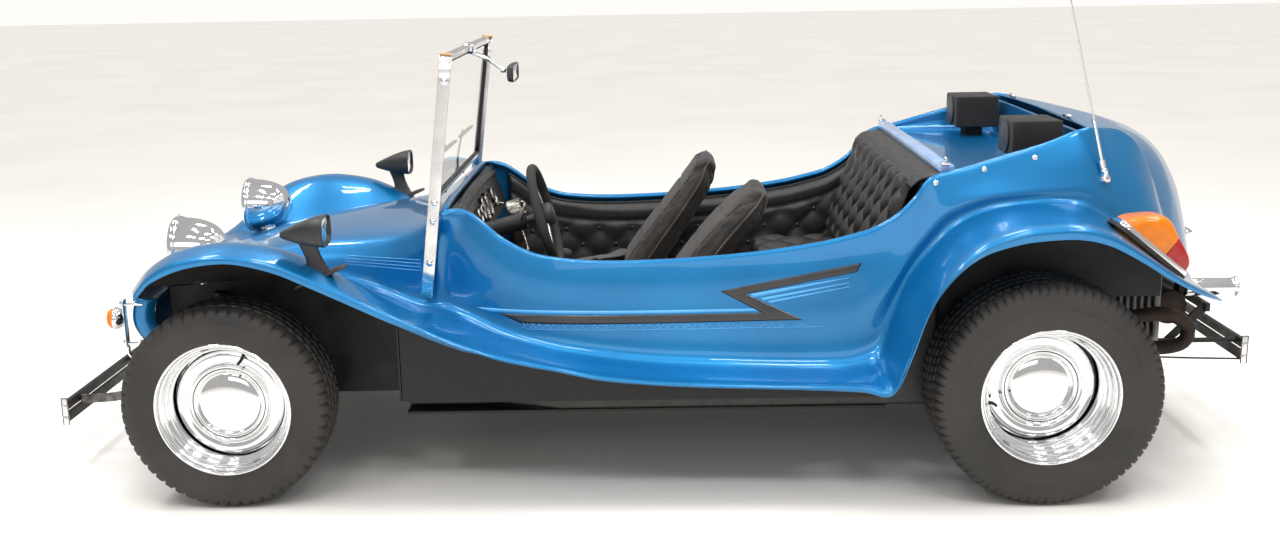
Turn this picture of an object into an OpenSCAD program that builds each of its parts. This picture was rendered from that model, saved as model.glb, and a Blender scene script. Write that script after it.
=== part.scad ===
// Open two-row beach buggy: moulded body on a short pan with a front beam axle and a rear engine.
// Millimetres, +X forward, +Y to the left, +Z up, origin on the ground at the middle of the outline.

/* [Chassis] */
// Distance between the front and the rear axle
wheelbase = 2400; // [2390:5:2410]
// Front axle, measured forward of the origin
front_axle_x = 1250; // [1245:1:1255]
// Wall of the moulded body
skin = 6; // [5:1:8]

/* [Wheels] */
// Radius of a front tyre
front_tyre_r = 308; // [300:1:312]
// Section width of a front tyre
front_tyre_w = 205; // [195:5:205]
// Outer face of a front tyre from the centre plane
front_face_y = 747; // [742:1:752]
// Radius of a rear tyre
rear_tyre_r = 331; // [325:1:335]
// Section width of a rear tyre
rear_tyre_w = 250; // [235:5:250]
// Outer face of a rear tyre from the centre plane
rear_face_y = 815; // [810:1:820]
// Radius of the rim's bright edge
rim_r = 201.5; // [200:0.5:203]
// Depth of the hub cap behind the front rim's edge
front_dish = 68; // [60:1:75]
// Depth of the hub cap behind the rear rim's edge
rear_dish = 112; // [100:1:120]

/* [Steering] */
// Kingpin from the centre plane
kingpin_y = 560; // [555:1:565]
// Length of a steering arm
steer_arm = 115; // [110:1:120]
// Diameter of the steering wheel
steering_d = 330; // [320:5:340]
// Centre of the steering wheel: forward, left, up
steering_at = [318, 330, 800];
// Slope of the steering column below level, in degrees
column_slope = 14.7; // [14:0.1:15.5]

/* [Hidden] */

$fn = 48;
rear_axle_x = front_axle_x - wheelbase;
blue = [0.02, 0.27, 0.67];
black = [0.05, 0.05, 0.055];
steel = [0.42, 0.43, 0.45];
chrome = [0.85, 0.86, 0.88];

// ---------- curves and skins ----------

// Point on a smooth curve through a list of points, at place u from 0 to len - 1
function curve_at(list, u) =
    let (n = len(list) - 1, i = min(floor(u), n - 1), t = u - i,
         a = list[max(i - 1, 0)], b = list[i], c = list[i + 1], d = list[min(i + 2, n)])
    b + 0.5 * t * ((c - a) + t * ((2 * a - 5 * b + 4 * c - d) + t * (3 * (b - c) + d - a)));

// A list of points made finer, with `steps` places between two of them
function finer(list, steps) = [for (j = [0 : steps * (len(list) - 1)]) curve_at(list, j / steps)];

// Unit normal of a grid at row i, column j
function grid_normal(g, i, j) =
    let (rows = len(g) - 1, cols = len(g[0]) - 1,
         du = g[min(i + 1, rows)][j] - g[max(i - 1, 0)][j],
         dv = g[i][min(j + 1, cols)] - g[i][max(j - 1, 0)],
         n = cross(du, dv))
    n / norm(n);

// Closed sheet of even thickness under a grid whose normals point outwards, made of the quads (row, column)
// that `wanted` says are in it
module skin_of(grid, thick, wanted = function (i, j) true) {
    rows = len(grid);
    cols = len(grid[0]);
    k = rows * cols;
    outer = [for (row = grid) for (p = row) p];
    inner = [for (i = [0 : rows - 1]) for (j = [0 : cols - 1]) grid[i][j] - thick * grid_normal(grid, i, j)];
    at = function (i, j) i * cols + j;
    kept = function (i, j) i >= 0 && j >= 0 && i < rows - 1 && j < cols - 1 && wanted(i, j);
    // the wall between the sheet's two faces along the edge from point a to point b
    wall = function (a, b) [[a, b, k + a], [k + a, b, k + b]];
    // the same with the other diagonal, so that two sheets that meet at a row share their triangles
    front_wall = function (a, b) [[a, b, k + b], [a, k + b, k + a]];
    polyhedron(concat(outer, inner),
        [for (i = [0 : rows - 2]) for (j = [0 : cols - 2]) if (kept(i, j)) for (f = concat(
            [[at(i, j), at(i, j + 1), at(i + 1, j)],
             [at(i + 1, j), at(i, j + 1), at(i + 1, j + 1)],
             [k + at(i, j), k + at(i + 1, j), k + at(i, j + 1)],
             [k + at(i + 1, j), k + at(i + 1, j + 1), k + at(i, j + 1)]],
            kept(i, j - 1) ? [] : wall(at(i, j), at(i + 1, j)),
            kept(i, j + 1) ? [] : wall(at(i + 1, j + 1), at(i, j + 1)),
            kept(i - 1, j) ? [] : front_wall(at(i, j + 1), at(i, j)),
            kept(i + 1, j) ? [] : wall(at(i + 1, j), at(i + 1, j + 1)))) f]);
}

module both_sides() {
    children();
    mirror([0, 1, 0]) children();
}

// Round bar between two points
module rod(from, to, r) {
    way = to - from;
    translate(from)
        rotate([0, acos(way[2] / norm(way)), atan2(way[1], way[0])])
            cylinder(r = r, h = norm(way));
}

// Flat bar between two points of an XZ outline, extruded along Y
module side_plate(points, y0, y1) {
    translate([0, y1, 0]) rotate([90, 0, 0]) linear_extrude(y1 - y0) polygon(points);
}

// ---------- body sections ----------

// Left half of the body, a row for each section from the nose to the tail. Ahead of the cowl the first
// pair is the bonnet's shoulder, and behind it the cockpit's rim; the flare runs on over both wheels.
//   x top  x lip  crown  shoulder    flank       valley      crest       outer       lip      (y, z pairs)
BODY = [
    [ 1632,  1632,   572, [280, 586], [355, 594], [425, 604], [600, 640], [742, 660], [752, 642]],
    [ 1560,  1560,   606, [285, 612], [358, 616], [425, 622], [600, 700], [745, 710], [758, 688]],
    [ 1470,  1470,   634, [285, 632], [356, 620], [424, 628], [608, 744], [748, 746], [762, 718]],
    [ 1380,  1380,   663, [280, 652], [352, 626], [420, 634], [613, 770], [750, 764], [765, 738]],
    [ 1270,  1270,   697, [275, 685], [348, 648], [415, 642], [618, 784], [752, 775], [766, 750]],
    [ 1177,  1177,   728, [276, 708], [350, 664], [415, 642], [622, 783], [754, 772], [767, 749]],
    [ 1060,  1060,   746, [288, 728], [366, 682], [424, 640], [628, 764], [756, 749], [768, 722]],
    [  950,   950,   759, [308, 741], [394, 690], [444, 628], [633, 716], [758, 701], [769, 673]],
    [  850,   850,   770, [334, 752], [424, 700], [468, 606], [634, 656], [760, 652], [770, 626]],
    [  767,   767,   784, [364, 768], [450, 712], [486, 582], [628, 604], [762, 610], [771, 586]],
    [  700,   700,   812, [398, 794], [476, 734], [496, 568], [612, 566], [764, 578], [771, 556]],
    [  640,   640,   852, [446, 836], [496, 770], [502, 572], [590, 548], [766, 552], [772, 529]],
    [  605,   605,   872, [500, 858], [503, 770], [506, 586], [576, 536], [767, 536], [773, 514]],
    [  540,   540, undef, [517, 850], [528, 760], [532, 592], [576, 520], [769, 508], [774, 489]],
    [  487,   487, undef, [532, 816], [546, 732], [552, 592], [586, 502], [770, 489], [775, 476]],
    [  430,   430, undef, [550, 770], [566, 694], [573, 582], [602, 484], [772, 471], [776, 457]],
    [  344,   344, undef, [574, 729], [589, 666], [597, 566], [622, 464], [774, 451], [777, 437]],
    [  256,   256, undef, [593, 713], [606, 654], [613, 558], [637, 448], [776, 433], [779, 420]],
    [  138,   138, undef, [607, 706], [619, 646], [626, 551], [648, 434], [778, 409], [780, 394]],
    [  -10,   -10, undef, [614, 708], [626, 646], [633, 548], [655, 421], [780, 393], [782, 379]],
    [ -156,  -156, undef, [616, 715], [629, 652], [636, 548], [658, 414], [781, 385], [783, 370]],
    [ -332,  -332, undef, [616, 730], [631, 662], [638, 552], [660, 408], [783, 378], [785, 364]],
    [ -500,  -490, undef, [614, 753], [632, 682], [641, 564], [664, 406], [790, 376], [795, 360]],
    [ -590,  -610, undef, [612, 773], [632, 700], [645, 578], [672, 412], [806, 378], [815, 359]],
    [ -655,  -690, undef, [610, 791], [632, 716], [648, 602], [664, 450], [835, 380], [850, 360]],
    [ -705,  -735, undef, [607, 816], [630, 740], [648, 650], [656, 560], [846, 480], [860, 470]],
    [ -745,  -780, undef, [604, 843], [627, 776], [645, 716], [652, 655], [848, 606], [861, 590]],
    [ -785,  -845, undef, [601, 884], [622, 830], [640, 782], [650, 735], [848, 712], [861, 690]],
    [ -830,  -925, undef, [598, 938], [617, 890], [636, 846], [650, 805], [848, 785], [862, 757]],
    [ -930, -1025, undef, [594, 964], [613, 923], [634, 885], [652, 848], [848, 826], [862, 790]],
    [-1040, -1115, undef, [589, 996], [610, 948], [634, 900], [656, 862], [848, 838], [862, 801]],
    [-1160, -1195, undef, [584, 1030], [608, 975], [634, 910], [658, 864], [847, 838], [861, 801]],
    [-1285, -1275, undef, [560, 1072], [598, 990], [630, 905], [658, 848], [845, 816], [858, 782]],
    [-1385, -1360, undef, [490, 1061], [560, 960], [612, 850], [655, 788], [838, 766], [850, 738]],
    [-1455, -1440, undef, [462, 1030], [538, 914], [598, 800], [648, 730], [826, 712], [838, 688]],
    [-1512, -1515, undef, [450, 938], [520, 838], [584, 740], [636, 680], [808, 664], [818, 646]],
    [-1562, -1580, undef, [442, 808], [500, 742], [560, 686], [614, 645], [782, 630], [790, 616]],
    [-1605, -1625, undef, [434, 700], [480, 668], [530, 640], [580, 616], [748, 606], [752, 597]],
    [-1640, -1652, undef, [426, 604], [468, 600], [512, 596], [560, 594], [704, 590], [706, 584]]];
cowl_row = 12;
// Column of the rim in a whole section made finer
rim_column = 10;
// How far each pair's place has moved from the top's x towards the lip's x
lip_share = [0, 0.2, 0.45, 0.75, 0.97, 1];
// How far the front corners are swept back at the outer edge of the first section, and where that ends
nose_sweep = 165;
sweep_ends_x = 1100;
nose_x = BODY[0][0];
flare_y = 765;

function swept(x, y) =
    x - nose_sweep * pow(abs(y) / flare_y, 2.2) * pow(max(0, (x - sweep_ends_x) / (nose_x - sweep_ends_x)), 1.5);

// Points of one section's left half, from the shoulder or rim down to the lip
function half_section(row) =
    [for (k = [0 : 5]) [swept(row[0] + (row[1] - row[0]) * lip_share[k], row[3 + k][0]), row[3 + k][0], row[3 + k][1]]];

function mirrored(list) = [for (k = [len(list) - 1 : -1 : 0]) [list[k][0], -list[k][1], list[k][2]]];

// Points of a whole section from the left lip to the right one. Behind the cowl the middle is open: three
// points there carry on the slope of the rim.
function whole_section(row) =
    let (lip_first = [for (k = [5 : -1 : 0]) half_section(row)[k]])
    row[2] != undef ? finer(concat(lip_first, [[row[0], 0, row[2]]], mirrored(lip_first)), 2)
    : let (left = finer(lip_first, 2), rim = left[rim_column], beyond = [2 * rim - left[rim_column - 1]])
      concat(left, beyond, [[rim[0], 0, rim[2]]], mirrored(beyond), mirrored(left));

// Engine lid: x, z on the centre plane, then x, y, z of the crease on its left side
LID = [
    [-1298, 1078, [-1298, 549, 1069]],
    [-1396, 1066, [-1378, 490, 1060]],
    [-1486, 1048, [-1430, 468, 1044]],
    [-1572, 1018, [-1470, 457, 1010]],
    [-1638, 978, [-1496, 451, 970]],
    [-1694, 918, [-1520, 447, 918]],
    [-1744, 825, [-1549, 442, 840]],
    [-1774, 722, [-1578, 437, 768]],
    [-1789, 645, [-1608, 431, 690]],
    [-1795, 590, [-1640, 423, 608]]];
lid_gap = 14;

function lid_section(row) =
    let (edge = row[2], y = edge[1] - lid_gap, bow = [edge[0] * 0.45 + row[0] * 0.55, y * 0.66,
                                                     edge[2] * 0.4 + row[1] * 0.6])
    [[edge[0], y, edge[2]], bow, [row[0], 0, row[1]], [bow[0], -bow[1], bow[2]],
     [edge[0], -y, edge[2]]];

// ---------- body ----------

rim_roll = 12;

// Rolled edge round the cockpit and the luggage tray
module cockpit_roll() {
    rims = [for (row = BODY) if (row[2] == undef && row[0] > -1300) [row[0], row[3][0] - rim_roll, row[3][1] - 2]];
    for (k = [0 : len(rims) - 2])
        hull() for (p = [rims[k], rims[k + 1]]) translate(p) sphere(r = rim_roll, $fn = 8);
}

tray_z = 935;
tray_front_x = -870;
tray_rear_x = -1278;

module luggage_tub() {
    color(blue) {
        translate([tray_rear_x, -572, tray_z]) cube([tray_front_x - tray_rear_x, 1144, skin]);
        translate([tray_rear_x - skin, -560, tray_z]) cube([skin, 1120, 1076 - tray_z]);
    }
}

module nose_panel() {
    // front face between the fenders, with a return on each side
    side_plate([[1606, 588], [1618, 572], [1618, 440], [1606, 424], [1600, 424], [1600, 588]], -452, 452);
    both_sides()
        side_plate([[1606, 588], [1606, 424], [1560, 430], [1528, 470], [1516, 590]], 446, 452);
}

// The real body is one moulding; it is held here as a nose, two sides and a tub that meet edge to edge
module body_nose() {
    color(blue) {
        skin_of([for (row = BODY) whole_section(row)], skin, function (i, j) i < cowl_row);
        nose_panel();
    }
}

module body_side(columns) {
    color(blue)
        skin_of([for (row = BODY) whole_section(row)], skin,
                function (i, j) i >= cowl_row && j >= columns[0] && j < columns[1]);
}

module body_side_left() {
    body_side([0, rim_column]);
    color(blue) cockpit_roll();
}

module body_side_right() {
    body_side([rim_column + 4, 2 * rim_column + 4]);
    color(blue) mirror([0, 1, 0]) cockpit_roll();
}

module engine_lid() {
    color(blue) skin_of([for (row = LID) finer(lid_section(row), 4)], skin);
}

// ---------- cabin ----------

dash_x = 590;

module dashboard() {
    color(black)
        difference() {
            side_plate([[dash_x + 8, 842], [dash_x - 16, 838], [dash_x - 62, 700], [dash_x - 40, 692],
                        [dash_x - 30, 700]], -488, 488);
            column_bore(38);
        }
}

module column_bore(r) {
    translate(steering_at) rotate([0, 90 + column_slope, 0]) translate([0, 0, 60]) cylinder(r = r, h = 420);
}

// y and radius of each round gauge
GAUGES = [[180, 26], [110, 26], [40, 42], [-50, 42], [-200, 34]];

dash_tilt = 72;    // the face of the dash leans up towards the driver

module gauges() {
    color(chrome)
        for (g = GAUGES)
            translate([dash_x - 41, g[0], 770]) rotate([0, -dash_tilt, 0]) cylinder(r = g[1], h = 12);
    color(chrome) translate([440, 268, 796]) rotate([0, column_slope - 90, 0]) cylinder(r = 38, h = 46);
}

post_rake = 7.4;
post_foot = [653, 584];
post_len = 733;
post_w = 36;

module on_screen() {
    translate([post_foot[0], 0, post_foot[1]]) rotate([0, -post_rake, 0]) children();
}

module windscreen_frame() {
    color(chrome)
        on_screen() {
            both_sides() translate([0, 515, 0]) cube([post_w, 6, post_len]);
            both_sides() translate([8, 490, 262]) cube([22, 24, post_len - 262]);
            translate([8, -514, post_len - 18]) cube([22, 1028, 18]);
            translate([8, -490, 296]) cube([22, 980, 14]);
        }
}

module windscreen_glass() {
    color([0.8, 0.9, 0.9, 0.3])
        on_screen() translate([16, -489, 311]) cube([6, 978, post_len - 330]);
}

module wipers() {
    color(black)
        for (y = [220, -200]) on_screen() {
            translate([38, y, 284]) rotate([0, 90, 0]) cylinder(r = 9, h = 34, center = true);
            rod([48, y, 284], [46, y - 40, 420], 4);
            translate([34, y - 190, 412]) cube([8, 330, 10]);
        }
}

module interior_mirror() {
    color(black)
        on_screen() {
            translate([-30, 0, 700]) cube([34, 20, 20], center = true);
            rod([-20, 0, 700], [-120, 0, 676], 5);
            translate([-136, 0, 660]) cube([26, 190, 58], center = true);
        }
}

module fender_mirrors() {
    color(black)
        both_sides() {
            translate([940, 690, 700]) rotate([0, 14, 0]) cylinder(r = 12, h = 90);
            translate([1048, 700, 828]) rotate([0, -90, 0]) cylinder(r1 = 16, r2 = 58, h = 128);
            translate([944, 690, 694]) rotate([0, 21, 0]) cube([150, 46, 12], center = true);
        }
}

// ---------- lamps ----------

lamp_at = [1452, 388, 728];

module headlights() {
    color(chrome)
        both_sides() translate(lamp_at) {
            rotate([0, -90, 0]) rotate_extrude()
                polygon([[0, 148], [26, 144], [54, 124], [76, 92], [88, 54], [92, 14], [96, 8],
                         [96, -8], [88, -8], [84, 10], [0, 10]]);
            translate([-58, 0, -98]) cylinder(r = 22, h = 40);
        }
}

module headlight_lenses() {
    color([0.9, 0.92, 0.95, 0.6])
        both_sides() translate(lamp_at) rotate([0, 90, 0])
            rotate_extrude() polygon([[0, -9], [83, -9], [87, 8], [60, 20], [30, 26], [0, 28]]);
}

module lamp_housings() {
    color(chrome)
        both_sides() {
            translate([1619, 437, 432]) cube([5, 30, 144]);
            translate([1624, 452, 519]) rotate([0, 90, 0]) cylinder(r1 = 22, r2 = 34, h = 26);
            tail_lamp_piece([[-8, 0], [-8, -12], [246, -12], [246, 0]], 8);
        }
}

// Wedge tail lamp: outline points as distance down the fender and height above it, extruded across
tail_lamp_at = [-1344, 700, 822];
tail_lamp_slope = 39;
tail_lamp_w = 116;

module tail_lamp_piece(points, grow = 0) {
    translate(tail_lamp_at) rotate([0, 180 - tail_lamp_slope, 0])
        side_plate([for (p = points) [p[0], -p[1]]], -tail_lamp_w / 2 - grow, tail_lamp_w / 2 + grow);
}

module amber_lenses() {
    color([1, 0.45, 0.02])
        both_sides() {
            translate([1650.3, 452, 519]) rotate([0, 90, 0]) cylinder(r1 = 31, r2 = 24, h = 20);
            tail_lamp_piece([[4, 0.3], [70, 84], [84, 94], [104, 92], [150, 72], [132, 0.3]]);
        }
}

module red_lenses() {
    color([0.6, 0.02, 0.02])
        both_sides() tail_lamp_piece([[132.6, 0.3], [150.6, 71.8], [216, 46], [232, 34], [236, 0.3]]);
}

module antenna() {
    color(steel) {
        rod([-1330, 606, 930], [-1318, 606, 985], 9);
        rod([-1318, 606, 985], [-1290, 606, 1100], 5);
        rod([-1290, 606, 1100], [-1190, 606, 1500], 2.5);
    }
}

module speakers() {
    color(black)
        both_sides() translate([-1168, 387, tray_z + skin + 36]) {
            translate([-74, -90, 0]) cube([148, 180, 108]);
            translate([-30, -40, -36]) cube([60, 80, 36]);
        }
}

module cross_bar() {
    color(blue) translate([-906, -566, 946]) cube([46, 1132, 26]);
}

// ---------- pan and black panels ----------

pan_z = 232;

module floor_pan() {
    color(black) {
        translate([-718, -570, pan_z]) cube([1458, 1140, 8]);
        translate([-718, -75, pan_z + 8]) cube([1718, 150, 120]);
        translate([740, -250, 300]) cube([360, 500, 8]);
        translate([-330, -500, pan_z + 8]) cube([30, 420, 110]);
        translate([-330, 80, pan_z + 8]) cube([30, 420, 110]);
        both_sides() for (x = [-250, 60]) translate([x, 180, pan_z + 8]) cube([26, 300, 58]);
    }
}

module sills() {
    color(black)
        both_sides()
            side_plate([[742, 290], [742, 540], [560, 505], [420, 440], [250, 402], [0, 372], [-300, 352],
                        [-640, 348], [-700, 320], [-700, 284], [-640, 284], [700, 284]], 572, 622);
}

module wheel_wells() {
    color(black)
        both_sides() {
            side_plate([[745, 250], [745, 560], [850, 590], [1000, 630], [1250, 622], [1500, 600],
                        [1500, 420], [1420, 410], [1330, 410], [1300, 290], [1020, 250]], 378, 384);
            translate([745, 384, 290]) cube([6, 236, 240]);
            side_plate([[-700, 350], [-720, 560], [-840, 740], [-1000, 812], [-1200, 820], [-1400, 730],
                        [-1540, 640], [-1540, 560], [-1300, 560], [-1250, 420], [-900, 350]], 530, 536);
        }
}

// ---------- seats ----------

module bucket(at, back_top) {
    translate(at) {
        translate([-60, -212, 0]) cube([470, 424, 120]);
        side_plate([[-40, 60], [60, 120], [back_top[0] + 60, back_top[1] + 6], [back_top[0], back_top[1] + 10],
                    [back_top[0] - 24, back_top[1] - 40]], -205, 205);
    }
}

module driver_seat() {
    color(black) bucket([-60, 300, 372], [-330, 530]);
}

module passenger_seat() {
    color(black) bucket([50, -300, 372], [-300, 548]);
}

module bench_cushion() {
    color(black) translate([-770, -480, 440]) cube([400, 960, 130]);
}

module bench_back() {
    color(black) side_plate([[-750, 585], [-670, 585], [-795, 930], [-862, 920]], -510, 510);
}

module side_trims() {
    color(black)
        both_sides()
            side_plate([[336, 400], [336, 700], [256, 686], [138, 678], [-10, 680],
                        [-156, 687], [-332, 702], [-500, 725], [-590, 745], [-590, 400]], 545, 568);
}

module seat_belts() {
    color(black) both_sides() for (x = [190, 280]) translate([x, 110, 492.5]) cube([50, 160, 10]);
}

// ---------- controls ----------

module along_column() {
    translate(steering_at) rotate([0, 90 + column_slope, 0]) children();
}

module steering_column() {
    color(black)
        along_column() translate([0, 0, 62]) difference() {
            cylinder(r = 27, h = 300);
            translate([0, 0, -1]) cylinder(r = 14, h = 302);
        }
}

module steering_wheel() {
    color(black)
        along_column() {
            rotate_extrude() translate([steering_d / 2 - 15, 0]) circle(r = 15);
            cylinder(r = 36, h = 22);
            for (a = [0, 120, 240]) rotate([0, 0, a + 60]) translate([0, -14, 6]) cube([steering_d / 2 - 16, 28, 5]);
            translate([0, 0, 20]) cylinder(r = 9, h = 820);
        }
}

module pedals() {
    color(black)
        for (y = [420, 340, 250]) {
            translate([700, y - 28, 330]) rotate([0, 20, 0]) cube([8, 56, 70]);
            rod([706, y, 335], [760, y, pan_z + 20], 7);
        }
}

// ---------- running gear ----------

beam_x = front_axle_x + 125;
beam_z = [front_tyre_r - 66, front_tyre_r + 74];

module front_axle() {
    color(black) {
        for (z = beam_z) translate([beam_x, 0, z]) rotate([90, 0, 0]) cylinder(r = 25, h = 860, center = true);
        for (y = [-400, -150, 150, 400])
            translate([beam_x - 8, y - 6, beam_z[0]]) cube([16, 12, beam_z[1] - beam_z[0]]);
        both_sides() for (z = beam_z) {
            translate([beam_x, 465, z]) rotate([90, 0, 0]) cylinder(r = 20, h = 40);
            rod([beam_x, 453, z], [front_axle_x, 453, z], 13);
            translate([front_axle_x, 520, z]) rotate([90, 0, 0]) cylinder(r = 12, h = 75);
        }
        both_sides() translate([front_axle_x, kingpin_y - 42, front_tyre_r - 80]) cylinder(r = 14, h = 170);
        both_sides() rod([beam_x + 4, 425, beam_z[0] + 10], [beam_x - 50, 420, 590], 24);
    }
}

module knuckle() {
    color(steel) {
        translate([front_axle_x, kingpin_y, front_tyre_r]) {
            translate([0, 0, -70]) cylinder(r = 17, h = 140);
            rotate([-90, 0, 0]) cylinder(r = 20, h = 100);
        }
        translate([front_axle_x, kingpin_y + 12, front_tyre_r]) rotate([-90, 0, 0]) cylinder(r = 105, h = 46);
        rod([front_axle_x, kingpin_y, front_tyre_r - 52], [front_axle_x - steer_arm, kingpin_y - 20, front_tyre_r - 52], 9);
        translate([front_axle_x - steer_arm, kingpin_y - 20, front_tyre_r - 60]) cylinder(r = 14, h = 16);
    }
}

module knuckle_left() {
    knuckle();
}

module knuckle_right() {
    mirror([0, 1, 0]) knuckle();
}

module tie_rod() {
    rod_z = front_tyre_r - 76;
    x = front_axle_x - steer_arm;
    color(steel) {
        rod([x, -kingpin_y + 20, rod_z], [x, kingpin_y - 20, rod_z], 9);
        both_sides() translate([x, kingpin_y - 20, rod_z - 13]) cylinder(r = 13, h = 26);
    }
}

module rear_axle() {
    color(black) {
        translate([rear_axle_x + 380, 0, rear_tyre_r + 4]) rotate([90, 0, 0]) cylinder(r = 42, h = 920, center = true);
        both_sides() {
            side_plate([[rear_axle_x + 400, rear_tyre_r - 16], [rear_axle_x + 400, rear_tyre_r + 24],
                        [rear_axle_x - 30, rear_tyre_r + 40], [rear_axle_x - 30, rear_tyre_r - 40]], 470, 484);
            translate([rear_axle_x, 560, rear_tyre_r]) rotate([90, 0, 0]) cylinder(r = 36, h = 400);
            rod([rear_axle_x - 60, 505, rear_tyre_r], [rear_axle_x + 10, 500, 700], 24);
        }
        translate([rear_axle_x, 0, rear_tyre_r + 10]) rotate([90, 0, 0]) cylinder(r = 110, h = 330, center = true);
        translate([rear_axle_x, 0, rear_tyre_r + 10]) rotate([0, 90, 0]) cylinder(r1 = 130, r2 = 80, h = 360);
    }
}

module engine() {
    color(steel) translate([rear_axle_x - 470, -330, rear_tyre_r - 90]) cube([355, 660, 420]);
}

module exhaust() {
    color([0.25, 0.2, 0.17])
        translate([rear_axle_x - 530, 0, rear_tyre_r + 120]) rotate([90, 0, 0]) cylinder(r = 55, h = 500, center = true);
    color(chrome) translate([-1899, 220, 510]) rotate([0, 90, 0]) difference() {
        union() {
            cylinder(r = 28, h = 100);
            translate([0, 0, 99]) cylinder(r = 23, h = 90);
        }
        translate([0, 0, -1]) cylinder(r = 25, h = 81);
    }
}

module front_bumper() {
    color(black) {
        for (z = [150, 190]) translate([1880, -350, z]) cube([14, 700, 28]);
        both_sides() rod([1882, 235, 190], [beam_x + 29, 235, beam_z[0]], 10);
    }
    color(chrome) both_sides() translate([1878, 350, 140]) cube([20, 6, 90]);
}

module rear_bumper() {
    color(black) {
        for (z = [300, 340]) translate([-1892, -350, z]) cube([14, 700, 28]);
        both_sides() rod([-1880, 300, 354], [-1626, 300, 354], 8);
        translate([-1790, -300, 448]) cube([14, 600, 26]);
        both_sides() side_plate([[-1776, 474], [-1790, 448], [-1652, 320], [-1626, 320]], 270, 282);
    }
    color(chrome) both_sides() translate([-1896, 350, 290]) cube([20, 6, 90]);
}

// ---------- wheels ----------

// Rim profile as radius, depth behind the outer edge; disc and domed cap at `dish`
module rim(face_y, width, dish) {
    color(chrome)
        translate([0, face_y, 0]) rotate([-90, 0, 0]) rotate_extrude() {
            polygon([[rim_r, 0], [rim_r, -8], [191, -14], [189, -40], [170, -60], [170, -width + 46],
                     [189, -width + 30], [191, -width + 12], [rim_r, -width + 6], [rim_r, -width],
                     [186, -width + 4], [184, -width + 30], [164, -width + 48], [164, -62],
                     [184, -42], [186, -10], [196, 0]]);
            polygon([[168, -dish - 18], [150, -dish - 6], [118, -dish - 4], [106, -dish - 10], [60, -dish - 14],
                     [60, -dish - 20], [110, -dish - 18], [150, -dish - 14], [168, -dish - 26]]);
            polygon([[0, -dish + 22], [36, -dish + 19], [70, -dish + 12], [98, -dish], [107, -dish - 8],
                     [100, -dish - 8], [62, -dish + 4], [0, -dish + 14]]);
        }
}

module tyre(r, face_y, width) {
    bead = 192;
    color(black)
        translate([0, face_y, 0]) rotate([-90, 0, 0]) rotate_extrude($fn = 96)
            polygon([[bead, -14], [rim_r + 3, -8], [rim_r + 20, -3], [r * 0.5 + rim_r * 0.5, 0],
                     [r - 22, -8], [r - 6, -22], [r, -40], [r, -width + 40], [r - 6, -width + 22],
                     [r - 22, -width + 8], [r * 0.5 + rim_r * 0.5, -width], [rim_r + 20, -width + 3],
                     [rim_r + 3, -width + 8], [bead, -width + 14]]);
}

rim_inset = 8;

module rim_front_left() {
    translate([front_axle_x, 0, front_tyre_r]) rim(front_face_y - rim_inset, front_tyre_w - 2 * rim_inset, front_dish);
}

module rim_front_right() {
    mirror([0, 1, 0]) rim_front_left();
}

module rim_rear_left() {
    translate([rear_axle_x, 0, rear_tyre_r]) rim(rear_face_y - rim_inset, rear_tyre_w - 2 * rim_inset, rear_dish);
}

module rim_rear_right() {
    mirror([0, 1, 0]) rim_rear_left();
}

module tyre_front_left() {
    translate([front_axle_x, 0, front_tyre_r]) tyre(front_tyre_r, front_face_y, front_tyre_w);
}

module tyre_front_right() {
    mirror([0, 1, 0]) tyre_front_left();
}

module tyre_rear_left() {
    translate([rear_axle_x, 0, rear_tyre_r]) tyre(rear_tyre_r, rear_face_y, rear_tyre_w);
}

module tyre_rear_right() {
    mirror([0, 1, 0]) tyre_rear_left();
}

body_nose();
body_side_left();
body_side_right();
luggage_tub();
engine_lid();
dashboard();
gauges();
windscreen_frame();
windscreen_glass();
wipers();
interior_mirror();
fender_mirrors();
headlights();
headlight_lenses();
lamp_housings();
amber_lenses();
red_lenses();
antenna();
speakers();
cross_bar();
floor_pan();
sills();
wheel_wells();
driver_seat();
passenger_seat();
bench_cushion();
bench_back();
side_trims();
seat_belts();
steering_column();
steering_wheel();
pedals();
front_axle();
knuckle_left();
knuckle_right();
tie_rod();
rear_axle();
engine();
exhaust();
front_bumper();
rear_bumper();
rim_front_left();
rim_front_right();
rim_rear_left();
rim_rear_right();
tyre_front_left();
tyre_front_right();
tyre_rear_left();
tyre_rear_right();
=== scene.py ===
import math

import bmesh
import bpy
import numpy as np
from mathutils import Matrix, Vector


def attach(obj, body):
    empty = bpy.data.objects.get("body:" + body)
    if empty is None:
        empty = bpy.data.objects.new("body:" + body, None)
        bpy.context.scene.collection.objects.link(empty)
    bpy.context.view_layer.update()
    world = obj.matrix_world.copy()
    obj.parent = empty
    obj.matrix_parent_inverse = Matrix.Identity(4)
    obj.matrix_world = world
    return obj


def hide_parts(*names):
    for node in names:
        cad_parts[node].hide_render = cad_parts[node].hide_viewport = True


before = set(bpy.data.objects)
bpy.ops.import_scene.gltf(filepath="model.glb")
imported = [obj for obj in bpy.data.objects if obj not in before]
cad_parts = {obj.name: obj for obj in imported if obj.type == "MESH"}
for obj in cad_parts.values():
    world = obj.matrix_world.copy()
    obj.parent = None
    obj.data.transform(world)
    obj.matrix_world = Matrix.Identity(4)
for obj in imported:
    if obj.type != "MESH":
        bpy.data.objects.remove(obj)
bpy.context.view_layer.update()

# ---------------------------------------------------------------- studio
# A pale seamless floor that runs to a white horizon, as in a dealer's white bay, with pairs of fluorescent
# tubes overhead that give the small highlights on the paint, and an even wash for the soft shadows.


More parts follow.
